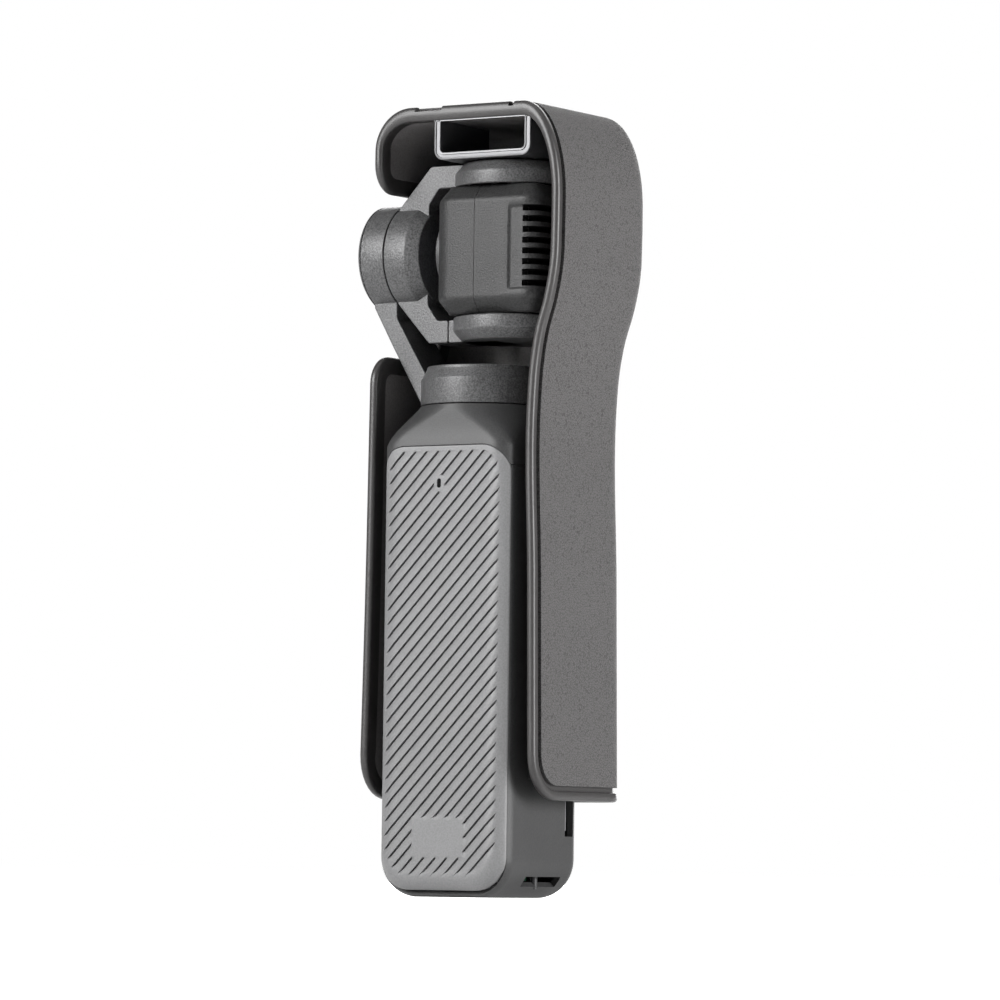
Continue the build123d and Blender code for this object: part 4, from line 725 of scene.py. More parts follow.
def frame_piece(made):
    """Side frame: the case's outline carried across the depth, with its edges rounded.

    A point is outline(u) moved inwards by the quarter circle's fall at the nearer face. Cells on the
    card slot, the lanyard slot and the charging port are left out, and Solidify gives the walls.
    """
    half, r = HANDLE[0], FOOT_CORNER
    corner = np.sort(np.append(np.linspace(0, QUARTER, 17), np.arccos(1 - np.array([2.15, 4.05]) / r)))
    side_z = np.append([11.75, 18.0, 24.95], np.linspace(30, 81.3, 12))
    left = np.concatenate([
        points(-(half - r) - r * np.sin(corner), r - r * np.cos(corner)), points(-half, side_z),
    ])
    base = points(np.array([-4.52, -3.0, 0.0, 3.0, 4.52]), 0.0)
    path = np.concatenate([left[::-1], base, left * [-1, 1]])
    inward = -normals_away(path, (0.0, 40.0))
    y = np.unique(np.round(np.concatenate([
        np.linspace(SEAM_FRONT + 0.03, -10.05, 7), np.linspace(10.05, SEAM_BACK - 0.05, 7),
        [-10.8, -7.8, -7.75, 4.6, -1.63, 1.63, -5.0, 0.0, 7.5],
    ]), 4))
    plan = path[:, None] + inward[:, None] * circle_fall(EDGE, HANDLE[1] - np.abs(y))[:, None]
    grid = points(plan[..., 0], y, plan[..., 1])

    def in_openings(middles):
        x, depth, z = middles.T
        card = (x < -14) & (z > 11.75) & (z < 24.95) & (depth > -10.8) & (depth < -7.8)
        lanyard = (x < -10) & (z > 2.1) & (z < 4.08) & (depth > -7.75) & (depth < 4.6)
        port = (z < 0.1) & (np.abs(x) < 4.5) & (np.abs(depth) < 1.6)
        return card | lanyard | port

    side_frame = piece(
        "case_sides", [(grid, False, False)], made["case"], "handle", ("side_frame",),
        30.0, open_cells=in_openings, facing=(0, 0, 40),
    )
    thicken(side_frame, 1.2)


# Gimbal

ROLL_Z = 122.6
TILT_X = -6.77
ARM_DEPTH = (-5.0, 5.0)
ON_AXIS = 0.001


class GIMBAL_OT_arms(bpy.types.Operator):
    """Pan arm with its ring and roll motor, and the fork with its two tilt caps"""

    bl_idname = "gimbal.arms"
    bl_label = "Gimbal arms"

    def execute(self, context):
        made = finishes()
        pan_pieces(made)
        fork_pieces(made)
        return {"FINISHED"}


def pan_pieces(made):
    """Ring and roll motor as eased profiles turned round their axes, the slanted arm as a soft bar."""
    roll_centre = (0.0, 0.0, ROLL_Z)
    ring = eased([
        (8.0, 93.5), (12.0, 93.5), (12.0, 98.4), (10.9, 100.4), (10.9, 100.9), (9.9, 100.9),
        (9.9, 100.6), (ON_AXIS, 100.6),
    ], 0.22)
    rotor = eased([(9.3, 16.95), (10.2, 16.95), (10.2, 22.08), (9.2, 22.08)], 0.16)
    cap = eased([
        (9.6, 22.16), (10.2, 22.16), (10.2, 22.35), (9.5, 23.0), (8.2, 23.0), (ON_AXIS, 23.0),
    ], 0.35, 6)
    slope = (17.9 - 11.1) / (105.6 - 93.6)
    arm = dense([
        (11.0, 93.9), (17.9, 105.6), (22.05, 105.6 + (22.05 - 17.9) / slope), (22.05, 116.4),
        (16.95, 116.4), (16.8, 110.7), (11.0, 101.2), (8.0, 96.4),
    ], 0.5)
    for name, surfaces, replaced in (
        ("pan_ring", turned(ring, (0, 0, 0), "Z"), ("pan_arm",)),
        ("pan_bar", prism(arm, ARM_DEPTH, 0.22), ()),
        ("roll_motor_wall", turned(rotor, roll_centre, "X"), ()),
        ("roll_motor_cap", turned(cap, roll_centre, "X"), ("roll_end_cap",)),
    ):
        piece(name, surfaces, made["arm"], "pan_arm", replaced)


def fork_pieces(made):
    """Fork: hub turned round the roll axis, soft-edged C of two arms, and a cap over each tilt shaft."""
    z = ROLL_Z
    hub = eased([
        (ON_AXIS, 9.55), (8.9, 9.55), (10.1, 12.15), (10.1, 16.8), (8.5, 16.8), (8.5, 16.0), (ON_AXIS, 16.0),
    ], 0.22)
    upper = dense([
        (-6.0, z + 17), (9.5, z + 17), (16.75, z + 9), (16.75, z - 9), (9.5, z - 17), (5.15, z - 17),
        (5.15, z - 12.7), (7.6, z - 12.7), (9.8, z - 9.7), (9.8, z + 9.7), (7.6, z + 12.7), (-6.0, z + 12.7),
    ], 0.5)
    lower = dense([(-6.0, z - 17), (5.05, z - 17), (5.05, z - 12.7), (-6.0, z - 12.7)], 0.45)
    cap = eased([
        (9.0, 12.9), (11.0, 12.45), (11.7, 12.45), (11.7, 15.0), (10.0, 17.0), (7.5, 17.0), (ON_AXIS, 17.0),
    ], 0.3)
    tilt_centre = (TILT_X, 0, 0)
    for name, surfaces, replaced in (
        ("fork_hub", turned(hub, (0, 0, z), "X"), ()),
        ("fork_arms", prism(upper, ARM_DEPTH, 0.2), ("roll_fork",)),
        ("fork_lower_arm", prism(lower, ARM_DEPTH, 0.15), ()),
        ("tilt_cap_top", turned(cap * (1, 1) + (0, z), tilt_centre, "Z"), ()),
        ("tilt_cap_foot", turned(cap * (1, -1) + (0, z), tilt_centre, "Z"), ("tilt_motor_housing",)),
    ):
        piece(name, surfaces, made["arm"], "fork", replaced)


HEAD_SIDE = 12.0
HEAD_BACK = -19.2
HEAD_FRONT = 4.7
HEAD_CORNER = 4.0
CORNER_X, CORNER_Y = HEAD_BACK + HEAD_CORNER, HEAD_SIDE - HEAD_CORNER
FACE_Y, FACE_Z = 7.9, 9.3
TOP_SLOT = 129.9
RECESS = (114.4, 115.0, 130.1, 130.7)


class HeadSettings(bpy.types.PropertyGroup):
    slots: IntProperty(name="Cooling slots", description="Slots in the rear shell", default=8, min=0, max=12)
    slot_height: FloatProperty(name="Slot height", description="Of each cooling slot, in mm", default=1.07)
    slot_pitch: FloatProperty(name="Slot pitch", description="From slot to slot, in mm", default=2.03)


class GIMBAL_OT_head(bpy.types.Operator):
    """Camera head in two shells, the rear one with its recessed cooling slots"""

    bl_idname = "gimbal.head"
    bl_label = "Camera head"

    def execute(self, context):
        made = finishes()
        look = context.scene.gimbal_head
        front, rear = head_shells(look.slots, look.slot_height, look.slot_pitch)
        # The slot floors take the near-black finish: painted shade in the slots.
        piece(
            "head_rear", rear, made["head"], "camera_head", ("head_rear_shell",), 28.0,
            facing=(-7, 0, ROLL_Z), second=(made["void"], in_slot_shade),
        )
        shell = piece(
            "head_front", front, made["head"], "camera_head", ("head_front_shell",), 28.0,
            facing=(-4, 0, ROLL_Z), open_cells=in_lens_opening,
        )
        thicken(shell, 1.0)
        ring = turned(eased([
            (6.65, 4.2), (6.65, 5.3), (7.3, 5.9), (8.6, 5.9), (8.6, 4.75), (7.05, 4.72), (7.05, 4.0),
        ], 0.12), (0, 0, ROLL_Z), "X")
        piece("lens_trim", ring, made["black"], "camera_head", ("lens_ring",))
        return {"FINISHED"}


def in_lens_opening(middles):
    """Which points lie in the opening of the front face, round the lens."""
    x, y, z = middles.T
    return (x > HEAD_FRONT - 0.1) & (np.abs(y) < FACE_Y) & (np.abs(z - ROLL_Z) < FACE_Z)


def in_slot_shade(middles):
    """Which points lie deeper than the recess, in the cooling slots, where the near-black finish is painted
    shade.
    """
    x, y, height = middles[:, 0], np.abs(middles[:, 1]), middles[:, 2] - ROLL_Z
    corner = np.hypot(np.maximum(CORNER_X - x, 0), np.maximum(y - CORNER_Y, 0))
    flat = np.minimum(HEAD_SIDE - y, x - HEAD_BACK)
    depth = np.where((x < CORNER_X) & (y > CORNER_Y), HEAD_CORNER - corner, flat)
    return (depth > 0.45) & (np.abs(height) < 8.5) & (x < -15.55)


def apart(values, others):
    """The values that lie more than 0.12 from all the others."""
    return values[np.min(np.abs(values[:, None] - others), axis=1, initial=np.inf) > 0.12]


def head_levels(centres, slot_height):
    """Heights of the head's rows above its centre, and how far each row stands inwards.

    Two rows lie close together at each edge of a slot, others round the recess, and the last ones
    follow the flat bevel and its soft edge.
    """
    bevel = eased([(0.0, 0.0), (0.0, 9.45), (2.3, 12.25), (3.3, 12.25)], 0.6, 6)[1:]
    cuts = np.concatenate([centres - slot_height / 2, centres + slot_height / 2])
    rims = np.concatenate([np.linspace(*RECESS[:2], 4), np.linspace(*RECESS[2:], 4)]) - ROLL_Z
    fine = np.concatenate([cuts - 0.05, cuts + 0.05, apart(rims, cuts)])
    level = np.append(fine, apart(np.linspace(-8.8, 8.8, 12), fine))
    heights = np.concatenate([-bevel[:, 1], level, bevel[:, 1]])
    insets = np.concatenate([bevel[:, 0], 0 * level, bevel[:, 0]])
    order = np.lexsort((insets * np.sign(heights), heights))
    return heights[order], insets[order]


def rear_relief(x, y, height, centres, slot_height):
    """How far the rear shell's recess and slots go in, with a bridge left across the back."""
    low, low_end, high_end, high = np.array(RECESS) - ROLL_Z
    behind = smooth(-x, 12.3, 13.1) * smooth(height, low, low_end) * smooth(-height, -high, -high_end)
    near = np.min(np.abs(height[..., None] - centres), axis=-1, initial=np.inf) < slot_height / 2
    bridge = (np.abs(y) < 3.0) & (x < -19)
    return 0.35 * behind + 2.2 * (near & (x < -15.6) & ~bridge)


def head_shells(slots, slot_height, pitch):
    """Surfaces of the front and rear shells.

    The head is its rounded plan moved inwards by the bevel's profile at each height. Behind
    X = -12.8 a shallow recess goes 0.35 in, and the slots go 2.2 further behind X = -15.6.
    """
    centres = TOP_SLOT - ROLL_Z - pitch * np.arange(slots)
    heights, insets = head_levels(centres, slot_height)
    turn = np.linspace(0, QUARTER, 13)
    slot_ends = np.arcsin((CORNER_X - np.array([-15.55, -15.65])) / HEAD_CORNER)
    rear_turn = np.sort(np.append(turn, slot_ends))
    rear_half = np.concatenate([
        points([-5.0, -7.5, -10.0, -12.3, -12.5, -12.7, -12.9, -13.1, -14.0], HEAD_SIDE),
        points(CORNER_X - HEAD_CORNER * np.sin(rear_turn), CORNER_Y + HEAD_CORNER * np.cos(rear_turn)),
    ])
    back = points(HEAD_BACK, [7.99, 5.5, 3.05, 2.95, 0.0, -2.95, -3.05, -5.5, -7.99])
    turn = turn[::-1]
    front_half = np.concatenate([
        points([-4.9, -2.5], HEAD_SIDE),
        points(0.7 + HEAD_CORNER * np.cos(turn), CORNER_Y + HEAD_CORNER * np.sin(turn)),
    ])
    face = points(HEAD_FRONT, np.linspace(FACE_Y, -FACE_Y, 7))
    shells = []
    for half, across in ((front_half, face), (rear_half, back)):
        path = np.concatenate([half, across, (half * [1, -1])[::-1]])
        normal = normals_away(path, (-7.25, 0.0))
        normal[0], normal[-1] = (0.0, 1.0), (0.0, -1.0)
        inset = insets[:, None] + 0 * path[:, 0]
        if across is back:
            inset += rear_relief(path[:, 0], path[:, 1], heights[:, None], centres, slot_height)
        plan = path - normal * inset[..., None]
        grid = points(plan[..., 0], plan[..., 1], heights[:, None] + ROLL_Z)
        shells.append([(grid, False, False), (grid[0], "fill"), (grid[-1], "fill")])
    return shells


# Cover

COVER_FOOT = 18.4
COVER_TOP = 150.3
RIM = 11.9
WINDOW = -10.7
SILL, LINTEL = 103.2, 134.3
FOOT_RADIUS = 8.5
WING_RADIUS = 5.5
WALL, ROOF, SKIN = 1.7, 2.8, 0.75
WAIST_DEPTH = 22.6
HALF_WIDTHS = {
    -1: ((COVER_FOOT, 60.0, 93.6, 100.0, 106.8, 112.4, 119.3, 126.0, 132.3, 150.0),
         (19.75, 19.09, 18.6, 19.05, 20.2, 21.9, 23.2, 23.46, 23.5, 23.5)),
    1: ((COVER_FOOT, 60.0, 93.6, 118.0, 142.3, 150.0), (19.75, 18.98, 18.6, 18.3, 18.1, 18.1)),
}
TOP_CORNERS = {-1: (-15.0, 132.3, 8.5, 18.0), 1: (10.1, 142.3, 8.0, 8.0)}
ARC_ROWS, WING_ROWS, WINDOW_ROWS = 9, 24, 12


class CoverSettings(bpy.types.PropertyGroup):
    band: FloatProperty(
        name="Band width", description="Smooth band along the free edge, in mm", default=1.8, min=0.8,
    )
    groove: FloatProperty(
        name="Groove", description="Between the band and the skin, in mm", default=1.0, min=0.2,
    )
    edge: FloatProperty(
        name="Front edge", description="Radius of the edge round the front, in mm", default=6.0, min=3.0,
    )


class GIMBAL_OT_cover(bpy.types.Operator):
    """Cover: smooth band round the free edge, textured skin outside and plain liner inside"""

    bl_idname = "gimbal.cover"
    bl_label = "Cover"

    def execute(self, context):
        made = finishes()
        look = context.scene.gimbal_cover
        piece("cover_band", [band_surface(look)], made["rim"], "cover", ("cover_frame",), 40.0)
        inner = look.band + look.groove
        outer = piece(
            "cover_outer", sheet(look, inner, 0.0, 0.0), made["skin"], "cover", ("cover_skin",),
            30.0, facing=(0, 0, 80), merge=0.02,
        )
        thicken(outer, SKIN)
        liner = piece(
            "cover_liner", sheet(look, inner + 0.3, WALL - SKIN, ROOF - SKIN), made["liner"], "cover", (),
            30.0, facing=(0, 0, 80), merge=0.02,
        )
        thicken(liner, 0.7)
        stop_piece(made)
        return {"FINISHED"}


def soft_interp(value, places, levels):
    """Piecewise cubic through (place, level) points with the slopes of its neighbours, level at last."""
    places, levels = np.asarray(places), np.asarray(levels)
    slopes = np.gradient(levels, places)
    slopes[-2:] = 0.0
    value = np.clip(value, places[0], places[-1])
    k = np.clip(np.searchsorted(places, value, side="right") - 1, 0, len(places) - 2)
    h = places[k + 1] - places[k]
    t = (value - places[k]) / h
    start = (2 * t ** 3 - 3 * t ** 2 + 1) * levels[k] + (t ** 3 - 2 * t ** 2 + t) * (slopes[k] * h)
    return start + (3 * t ** 2 - 2 * t ** 3) * levels[k + 1] + (t ** 3 - t ** 2) * (slopes[k + 1] * h)


def cover_half(side, z, wall):
    """Half width of the cover's outline at heights z below its top corners, drawn in by wall."""
    return soft_interp(z, *HALF_WIDTHS[side]) - wall


def cover_front(z):
    """Y of the cover's front: a soft step from 22.6 deep at the waist to 23.4 at the hood."""
    return -WAIST_DEPTH - 0.8 * smooth(z, 93.6, 124.0)


def top_corner(side, angle, wall, roof):
    """Points (X, Z) of a top corner, a quarter ellipse less the wall and the roof, by its angle."""
    x, z, wide, tall = TOP_CORNERS[side]
    return points(x + side * (wide - wall) * np.cos(angle), z + (tall - roof) * np.sin(angle))


def window_levels(margin):
    """Sill and lintel moved out by margin, and the radii of the wings' and the window's corners."""
    return SILL - margin, LINTEL + margin, WING_RADIUS - margin, WING_RADIUS + margin


def flank_heights(margin):
    """Heights of the grid's lines, close together in the arcs of the wing's ends and of the window."""
    quarter = np.linspace(0, QUARTER, ARC_ROWS)
    opening, closing = 1 - np.cos(quarter), np.sin(quarter)
    foot, foot_r = COVER_FOOT + margin, FOOT_RADIUS - margin
    sill, lintel, wing_r, window_r = window_levels(margin)
    return np.concatenate([
        foot + foot_r * opening,
        np.linspace(foot + foot_r, sill - wing_r, WING_ROWS + 2)[1:-1],
        sill - wing_r + wing_r * closing,
        sill + window_r * opening,
        np.linspace(sill + window_r, lintel - window_r, WINDOW_ROWS + 2)[1:-1],
        lintel - window_r + window_r * closing,
        lintel + wing_r * opening,
    ])


def arc_at(radius, reach):
    """Height of a quarter circle over a reach from its centre: sqrt(radius^2 - reach^2)."""
    return np.sqrt(np.maximum(radius ** 2 - np.clip(reach, 0, radius) ** 2, 0))


def free_edge(side, margin, heights):
    """Y of the wing's free edge at each height of flank_heights, drawn back by margin."""
    rim, foot, foot_r = RIM - margin, COVER_FOOT + margin, FOOT_RADIUS - margin
    edge = rim - foot_r + arc_at(foot_r, foot + foot_r - heights)
    if side > 0:
        sill, lintel, wing_r, window_r = window_levels(margin)
        first = ARC_ROWS + WING_ROWS
        second = first + ARC_ROWS
        third = second + 2 * ARC_ROWS + WINDOW_ROWS
        low, middle, high = heights[first:second], heights[second:third], heights[third:]
        edge[first:second] = rim - wing_r + arc_at(wing_r, low - (sill - wing_r))
        reach = np.maximum(sill + window_r - middle, middle - (lintel - window_r))
        edge[second:third] = WINDOW - margin + window_r - arc_at(window_r, reach)
        edge[third:] = rim - wing_r + arc_at(wing_r, lintel + wing_r - high)
    return edge


def sheet(look, margin, wall, roof):
    """The cover's surface inside its free edge, drawn in by wall at the sides and by roof on top.

    Columns run up one flank, along the crown and down the other; rows run from the free edge to the
    front edge, round it, and a patch that blends its four borders closes the front.
    """
    z = flank_heights(margin)
    centre_z, tall = TOP_CORNERS[-1][1], TOP_CORNERS[-1][3]
    turn = np.arcsin((z[z >= centre_z] - centre_z) / tall)
    left_turn = np.append(turn, np.linspace(turn[-1], QUARTER, 17)[1:])
    right_turn = np.linspace(0, QUARTER, 16)
    crown_share = np.linspace(0, 1, 15)[1:-1, None]

    def outline(w, r):
        flanks = []
        for side, heights, angle in ((-1, z[z < centre_z], left_turn), (1, z, right_turn)):
            straight = points(side * cover_half(side, heights, w), heights)
            flanks.append(np.concatenate([straight, top_corner(side, angle, w, r)]))
        left, right = flanks
        crown = left[-1] + (right[-1] - left[-1]) * crown_share
        return np.concatenate([left, crown, right[::-1]])

    ring = outline(wall, roof)
    deep = outline(look.edge, look.edge + roof - wall)
    n = len(z) + len(right_turn)
    level = np.full(len(ring) - 2 * len(z), RIM - margin)
    edge = np.concatenate([free_edge(-1, margin, z), level, free_edge(1, margin, z)[::-1]])
    front = cover_front(ring[:, 1]) + wall
    begin = front + look.edge - wall
    rows = []
    for share in np.linspace(0, 1, 9):
        rows.append(points(ring[:, 0], edge + (begin - edge) * share, ring[:, 1]))
    for t in np.linspace(0, QUARTER, 10)[1:]:
        plan = ring + (deep - ring) * (1 - cos(t))
        rows.append(points(plan[:, 0], begin + (front - begin) * sin(t), plan[:, 1]))
    skirt = np.stack(rows)
    border = skirt[-1]
    west, north, east = border[:n], border[n - 1:len(border) - n + 1], border[len(border) - n:][::-1]
    u = np.linspace(0, 1, len(north))[:, None]
    v = ((west[:, 2] - west[0, 2]) / (west[-1, 2] - west[0, 2]))[:, None, None]
    south = west[:1] + (east[:1] - west[:1]) * u
    patch = (1 - u) * west[:, None] + u * east[:, None] + (1 - v) * south + v * north
    patch -= (1 - u) * (1 - v) * west[0] + u * (1 - v) * east[0] + (1 - u) * v * west[-1] + u * v * east[-1]
    return [(skirt, False, False), (patch, False, False)]


def line(start, end):
    """Points about a millimetre apart from start to just before end."""
    count = max(2, int(np.hypot(*np.subtract(end, start))))
    return np.linspace(start, end, count, endpoint=False)


def bend(centre, radius, start, sweep):
    """Points of an arc through sweep degrees from the angle start, without its last."""
    angle = radians(start) + np.linspace(0, radians(sweep), 9, endpoint=False)
    return np.asarray(centre) + radius * points(np.cos(angle), np.sin(angle))


def loop_side(path, side, wall):
    """Points of a flank's free edge from a path in (Y, Z)."""
    return points(side * cover_half(side, path[:, 1], wall), path[:, 0], path[:, 1])


def loop_crown(wall, roof):
    """Points of the free edge over the crown, close together at the ends of the band's two cuts."""
    angle = np.linspace(0, QUARTER, 20, endpoint=False)
    ends = [-13.3, -13.2, -12.2, -12.1, 2.9, 3.0, 8.9, 9.0]
    plan = np.concatenate([
        top_corner(-1, angle, wall, roof),
        points(np.sort(np.append(np.linspace(-15, 9.6, 24), ends)), COVER_TOP - roof),
        top_corner(1, QUARTER - angle, wall, roof),
    ])
    return points(plan[:, 0], RIM, plan[:, 1])


def loop_foot(edge, wall):
    """Points of the free edge along the foot: round one front corner, the front, and the other."""
    r, depth, half = edge - wall, WAIST_DEPTH - wall, HALF_WIDTHS[1][1][0] - wall
    angle = np.linspace(0, QUARTER, 10, endpoint=False)
    plan = np.concatenate([
        points(half - r * (1 - np.cos(angle)), -(depth - r) - r * np.sin(angle)),
        np.linspace((half - r, -depth), (-half + r, -depth), 26, endpoint=False),
        points(-half + r - r * np.sin(angle), -depth + r * (1 - np.cos(angle))),
    ])
    return points(plan[:, 0], plan[:, 1], COVER_FOOT)


def edge_loop(edge):
    """Points along the cover's free edge, and the way through its wall at each point.

    Up the -X side from the foot, over the crown, down the +X side round the window, and back along
    the foot; the wall is 1.7 at the sides and the front and 2.8 in the roof.
    """
    f, r, w = COVER_FOOT, FOOT_RADIUS, WING_RADIUS
    begin, flat, inner, turn = -16.6, RIM - r, RIM - w, WINDOW + w
    left = np.concatenate([
        line((begin, f), (flat, f)), bend((flat, f + r), r, -90, 90), line((RIM, f + r), (RIM, 132.3)),
    ])
    right = np.concatenate([
        line((RIM, 142.3), (RIM, LINTEL + w)),
        bend((inner, LINTEL + w), w, 0, -90), line((inner, LINTEL), (turn, LINTEL)),
        bend((turn, LINTEL - w), w, 90, 90), line((WINDOW, LINTEL - w), (WINDOW, SILL + w)),
        bend((turn, SILL + w), w, 180, 90), line((turn, SILL), (inner, SILL)),
        bend((inner, SILL - w), w, 90, -90), line((RIM, SILL - w), (RIM, f + r)),
        bend((flat, f + r), r, 0, -90), line((flat, f), (begin, f)),
    ])
    outer, inside = (np.concatenate([
        loop_side(left, -1, wall), loop_crown(wall, roof), loop_side(right, 1, wall), loop_foot(edge, wall),
    ]) for wall, roof in ((0.0, 0.0), (WALL, ROOF)))
    return outer, inside - outer


def band_surface(look):
    """Band as a closed section carried along the free edge.

    Each section lies in the plane of the way into the sheet and the way through the wall. It has a
    rounded nose, a flat outer face, a step down into the groove, and the wall's inner face. Two
    stretches of the roof's edge are cut 0.8 deep.
    """
    outer, through = edge_loop(look.edge)
    ahead = np.roll(outer, -1, axis=0) - np.roll(outer, 1, axis=0)
    ahead /= np.linalg.norm(ahead, axis=1, keepdims=True)
    into = np.cross(ahead, through)
    into /= np.linalg.norm(into, axis=1, keepdims=True)
    middle = np.array([0.0, -5.0, 80.0])
    if np.sum(into[5] * (middle - outer[5])) < 0:
        into = -into
    ridge, step = look.band, look.band + look.groove + 0.6
    section = np.array([
        (0.0, 0.5), (0.03, 0.34), (0.12, 0.2), (0.28, 0.09), (0.5, 0.02), (0.75, 0.0), (ridge - 0.25, 0.0),
        (ridge - 0.08, 0.03), (ridge, 0.1), (ridge + 0.05, 0.42), (step, 0.45), (step, 0.97), (ridge, 1.0),
        (0.75, 1.0), (0.5, 0.98), (0.28, 0.91), (0.12, 0.8), (0.03, 0.66),
    ])
    grid = outer[:, None] + into[:, None] * section[:, :1] + through[:, None] * section[:, 1:]
    x = outer[:, 0]
    cut = (outer[:, 2] > 150) & (((x > 2.95) & (x < 8.95)) | ((x > -13.25) & (x < -12.15)))
    outside = (section[:, 1] < 0.3) & (section[:, 0] < ridge + 0.02)
    grid[..., 2] -= 0.8 * (cut[:, None] & outside)
    return grid, True, True


def stop_piece(made):
    """U-shaped stop under the roof, with two thin bright lines round its open end and painted shade on the
    floor between them.
    """
    outer = rounded_rect((-16.8, 4.8), (139.9, 150.0), 2.0, 0.1, 8, 8)
    inner = rounded_rect((-15.4, 3.4), (141.3, 150.0), 0.8, 0.1, 8, 8)
    for ring in (outer, inner):
        ring[:, 1] = np.minimum(ring[:, 1], 147.7)
    ease = ((0.5, 0.3), (0.38, 0.0), (0.15, 0.0), (0.04, 0.04), (0.0, 0.2))
    lip = [(outer - normals_of(outer) * inset, 11.3 - depth) for inset, depth in ease]
    lip += [(inner + normals_of(inner) * inset, 11.3 - depth) for inset, depth in ease[::-1]]
    walls = [(outer, 11.0), (outer, -6.0), (inner, -6.0), (inner, 11.0)]
    walls, lip = (np.stack([points(ring[:, 0], y, ring[:, 1]) for ring, y in rows]) for rows in (walls, lip))
    piece("stop_walls", [(walls, True, True)], made["stop"], "cover", ("head_stop",))
    # The groove floor between the bright lines takes the darker stop finish: painted shade in the groove.
    piece(
        "stop_bright_edge", [(lip, True, True)], made["stop_edge"], "cover", (),
        second=(made["stop"], lambda middles: np.abs(middles[:, 1] - 11.0) < 0.03),
    )


class StageSettings(bpy.types.PropertyGroup):
    distance: FloatProperty(
        name="Camera distance", description="From the camera to the point it looks at", unit="LENGTH",
        default=1.1492, min=0.2,
    )
    bearing: FloatProperty(
        name="Bearing", description="Turn of the camera round the object, 0 looks along +Y", unit="ROTATION",
        default=radians(212.348),
    )
    elevation: FloatProperty(
        name="Elevation", description="Angle of the camera above the point it looks at", unit="ROTATION",
        default=radians(-3.499),
    )
    roll: FloatProperty(
        name="Roll", description="Turn of the camera about its own axis", unit="ROTATION",
        default=radians(0.743),
    )
    lens: FloatProperty(name="Lens", description="Focal length in millimetres", default=216.74, min=20.0)
    aim_height: FloatProperty(
        name="Aim height", description="Height of the point that the camera looks at", unit="LENGTH",
        default=0.07574,
    )
    aim_side: FloatProperty(
        name="Aim side", description="How far that point lies to the camera's right", unit="LENGTH",
        default=0.00334,
    )


class GIMBAL_OT_stage(bpy.types.Operator):
    """Add the floor, the soft lights and the camera"""

    bl_idname = "gimbal.stage"
    bl_label = "Stage"

    def execute(self, context):
        scene = context.scene
        add_camera(scene, scene.gimbal_stage)
        add_floor(scene)
        add_world(scene)
        add_lights(scene)
        scene.view_settings.view_transform = "Standard"
        return {"FINISHED"}


def outwards(bearing, elevation):
    """Unit way out to a bearing and an elevation; bearing 0 lies on the -Y side."""
    return Vector((sin(bearing) * cos(elevation), -cos(bearing) * cos(elevation), sin(elevation)))


def add_camera(scene, view):
    """Camera on its bearing and elevation, turned by its small roll."""
    back = outwards(view.bearing, view.elevation)
    right = Vector((cos(view.bearing), sin(view.bearing), 0.0))
    up = back.cross(right)
    aim = right * view.aim_side + Vector((0.0, 0.0, view.aim_height))
    turned_right = right * cos(view.roll) + up * sin(view.roll)
    turned_up = up * cos(view.roll) - right * sin(view.roll)
    data = bpy.data.cameras.new("camera")
    data.lens = view.lens
    data.sensor_width = 36.0
    data.clip_start = 0.01
    camera = bpy.data.objects.new("camera", data)
    turn = Matrix((turned_right, turned_up, back)).transposed()
    camera.matrix_world = Matrix.Translation(aim + back * view.distance) @ turn.to_4x4()
    scene.collection.objects.link(camera)
    scene.camera = camera


WHITE = (1.0, 1.0, 1.0, 1.0)
FLOOR_HALF = 60.0
FLOOR_COLOUR = (0.86, 0.86, 0.86, 1.0)
FLOOR_GLOW = 0.93
GLOSSY_SHARE = 0.3
SURROUND = 0.08


def add_glow(tree, output, surface, strength):
    """Adds to a surface white light that camera rays see whole, glossy rays in part, others not."""
    path = add_node(tree, "ShaderNodeLightPath", {})
    parts = {0: path["Is Glossy Ray"], 1: GLOSSY_SHARE, 2: path["Is Camera Ray"]}
    seen = add_node(tree, "ShaderNodeMath", parts, operation="MULTIPLY_ADD")["Value"]
    amount = add_node(tree, "ShaderNodeMath", {0: seen, 1: strength}, operation="MULTIPLY")["Value"]
    glow = add_node(tree, "ShaderNodeEmission", {"Strength": amount})["Emission"]
    both = add_node(tree, "ShaderNodeAddShader", {0: surface, 1: glow})["Shader"]
    tree.links.new(both, output.inputs["Surface"])


def add_floor(scene):
    """Wide pale floor, level with the handle's base."""
    r = FLOOR_HALF
    mesh = bpy.data.meshes.new("floor")
    mesh.from_pydata([(-r, -r, 0), (r, -r, 0), (r, r, 0), (-r, r, 0)], [], [(0, 1, 2, 3)])
    floor = bpy.data.objects.new("floor", mesh)
    scene.collection.objects.link(floor)
    material, tree, shader = blank_material("pale_floor")
    set_inputs(tree, shader, {"Base Color": FLOOR_COLOUR, "Roughness": 0.9, "Specular IOR Level": 0.0})
    add_glow(tree, tree.nodes["Material Output"], shader.outputs["BSDF"], FLOOR_GLOW)
    mesh.materials.append(material)


def add_world(scene):
    """White surroundings for the camera, softer light for everything else."""
    world = bpy.data.worlds.new("studio")
    world.use_nodes = True
    tree = world.node_tree
    seen = add_node(tree, "ShaderNodeLightPath", {})["Is Camera Ray"]
    strength = spread(tree, seen, SURROUND, 1.0)
    set_inputs(tree, tree.nodes["Background"], {"Strength": strength, "Color": WHITE})
    scene.world = world


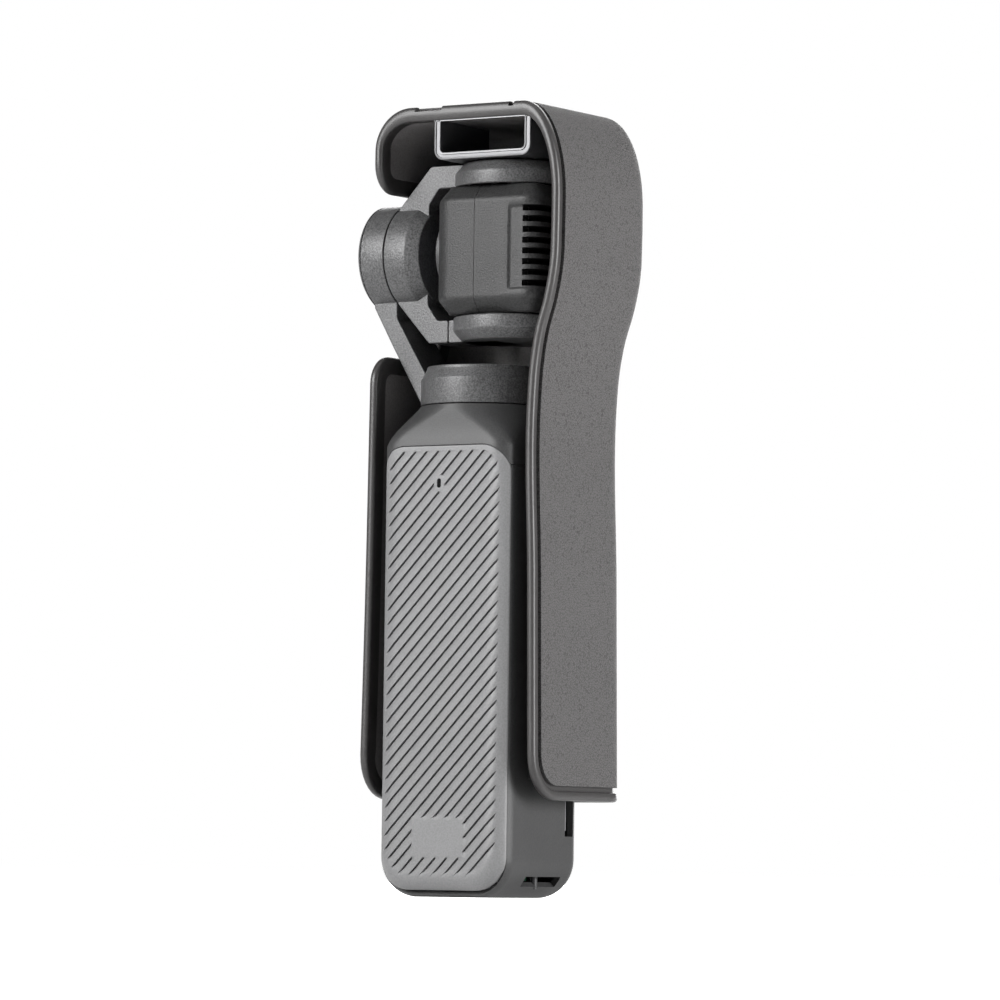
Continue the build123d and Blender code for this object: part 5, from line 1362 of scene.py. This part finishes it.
def add_lights(scene):
    """Soft boxes: (name, bearing, elevation, distance, size, watts) aimed at the object's middle."""
    boxes = (
        ("key_box", 156.0, 22.0, 0.9, 0.5, 18.0),
        ("side_box", 280.0, 8.0, 0.9, 0.5, 18.0),
        ("top_box", 190.0, 80.0, 0.8, 0.6, 1.5),
        ("front_box", 20.0, 15.0, 0.9, 0.6, 7.0),
    )
    for name, bearing, elevation, distance, size, watts in boxes:
        back = outwards(radians(bearing), radians(elevation))
        data = bpy.data.lights.new(name, "AREA")
        data.shape = "RECTANGLE"
        data.size = size
        data.size_y = size
        data.energy = watts
        lamp = bpy.data.objects.new(name, data)
        place = Vector((0, 0, 0.08)) + back * distance
        lamp.matrix_world = Matrix.Translation(place) @ back.to_track_quat("Z", "Y").to_matrix().to_4x4()
        scene.collection.objects.link(lamp)


class GIMBAL_PT_panel(bpy.types.Panel):
    """Sidebar panel that lists the settings and the steps"""

    bl_idname = "GIMBAL_PT_panel"
    bl_label = "Gimbal camera"
    bl_space_type = "VIEW_3D"
    bl_region_type = "UI"
    bl_category = "Gimbal camera"

    def draw(self, context):
        for name in GROUPS:
            group = getattr(context.scene, name)
            box = self.layout.box()
            for key in group.__annotations__:
                box.prop(group, key)
        for operator in STEPS:
            self.layout.operator(operator.bl_idname)


STEPS = (
    GIMBAL_OT_cad_finishes, GIMBAL_OT_grip, GIMBAL_OT_case, GIMBAL_OT_arms, GIMBAL_OT_head,
    GIMBAL_OT_cover, GIMBAL_OT_stage,
)
GROUPS = {
    "gimbal_finish": FinishSettings,
    "gimbal_grip": GripSettings,
    "gimbal_head": HeadSettings,
    "gimbal_cover": CoverSettings,
    "gimbal_stage": StageSettings,
}
CLASSES = (*GROUPS.values(), *STEPS, GIMBAL_PT_panel)


def register():
    for each in CLASSES:
        bpy.utils.register_class(each)
    for name, group in GROUPS.items():
        setattr(bpy.types.Scene, name, PointerProperty(type=group))


def unregister():
    for name in GROUPS:
        delattr(bpy.types.Scene, name)
    for each in reversed(CLASSES):
        bpy.utils.unregister_class(each)


def main():
    register()
    bpy.ops.gimbal.cad_finishes()
    bpy.ops.gimbal.grip()
    bpy.ops.gimbal.case()
    bpy.ops.gimbal.arms()
    bpy.ops.gimbal.head()
    bpy.ops.gimbal.cover()
    bpy.ops.gimbal.stage()


if __name__ == "__main__":
    main()
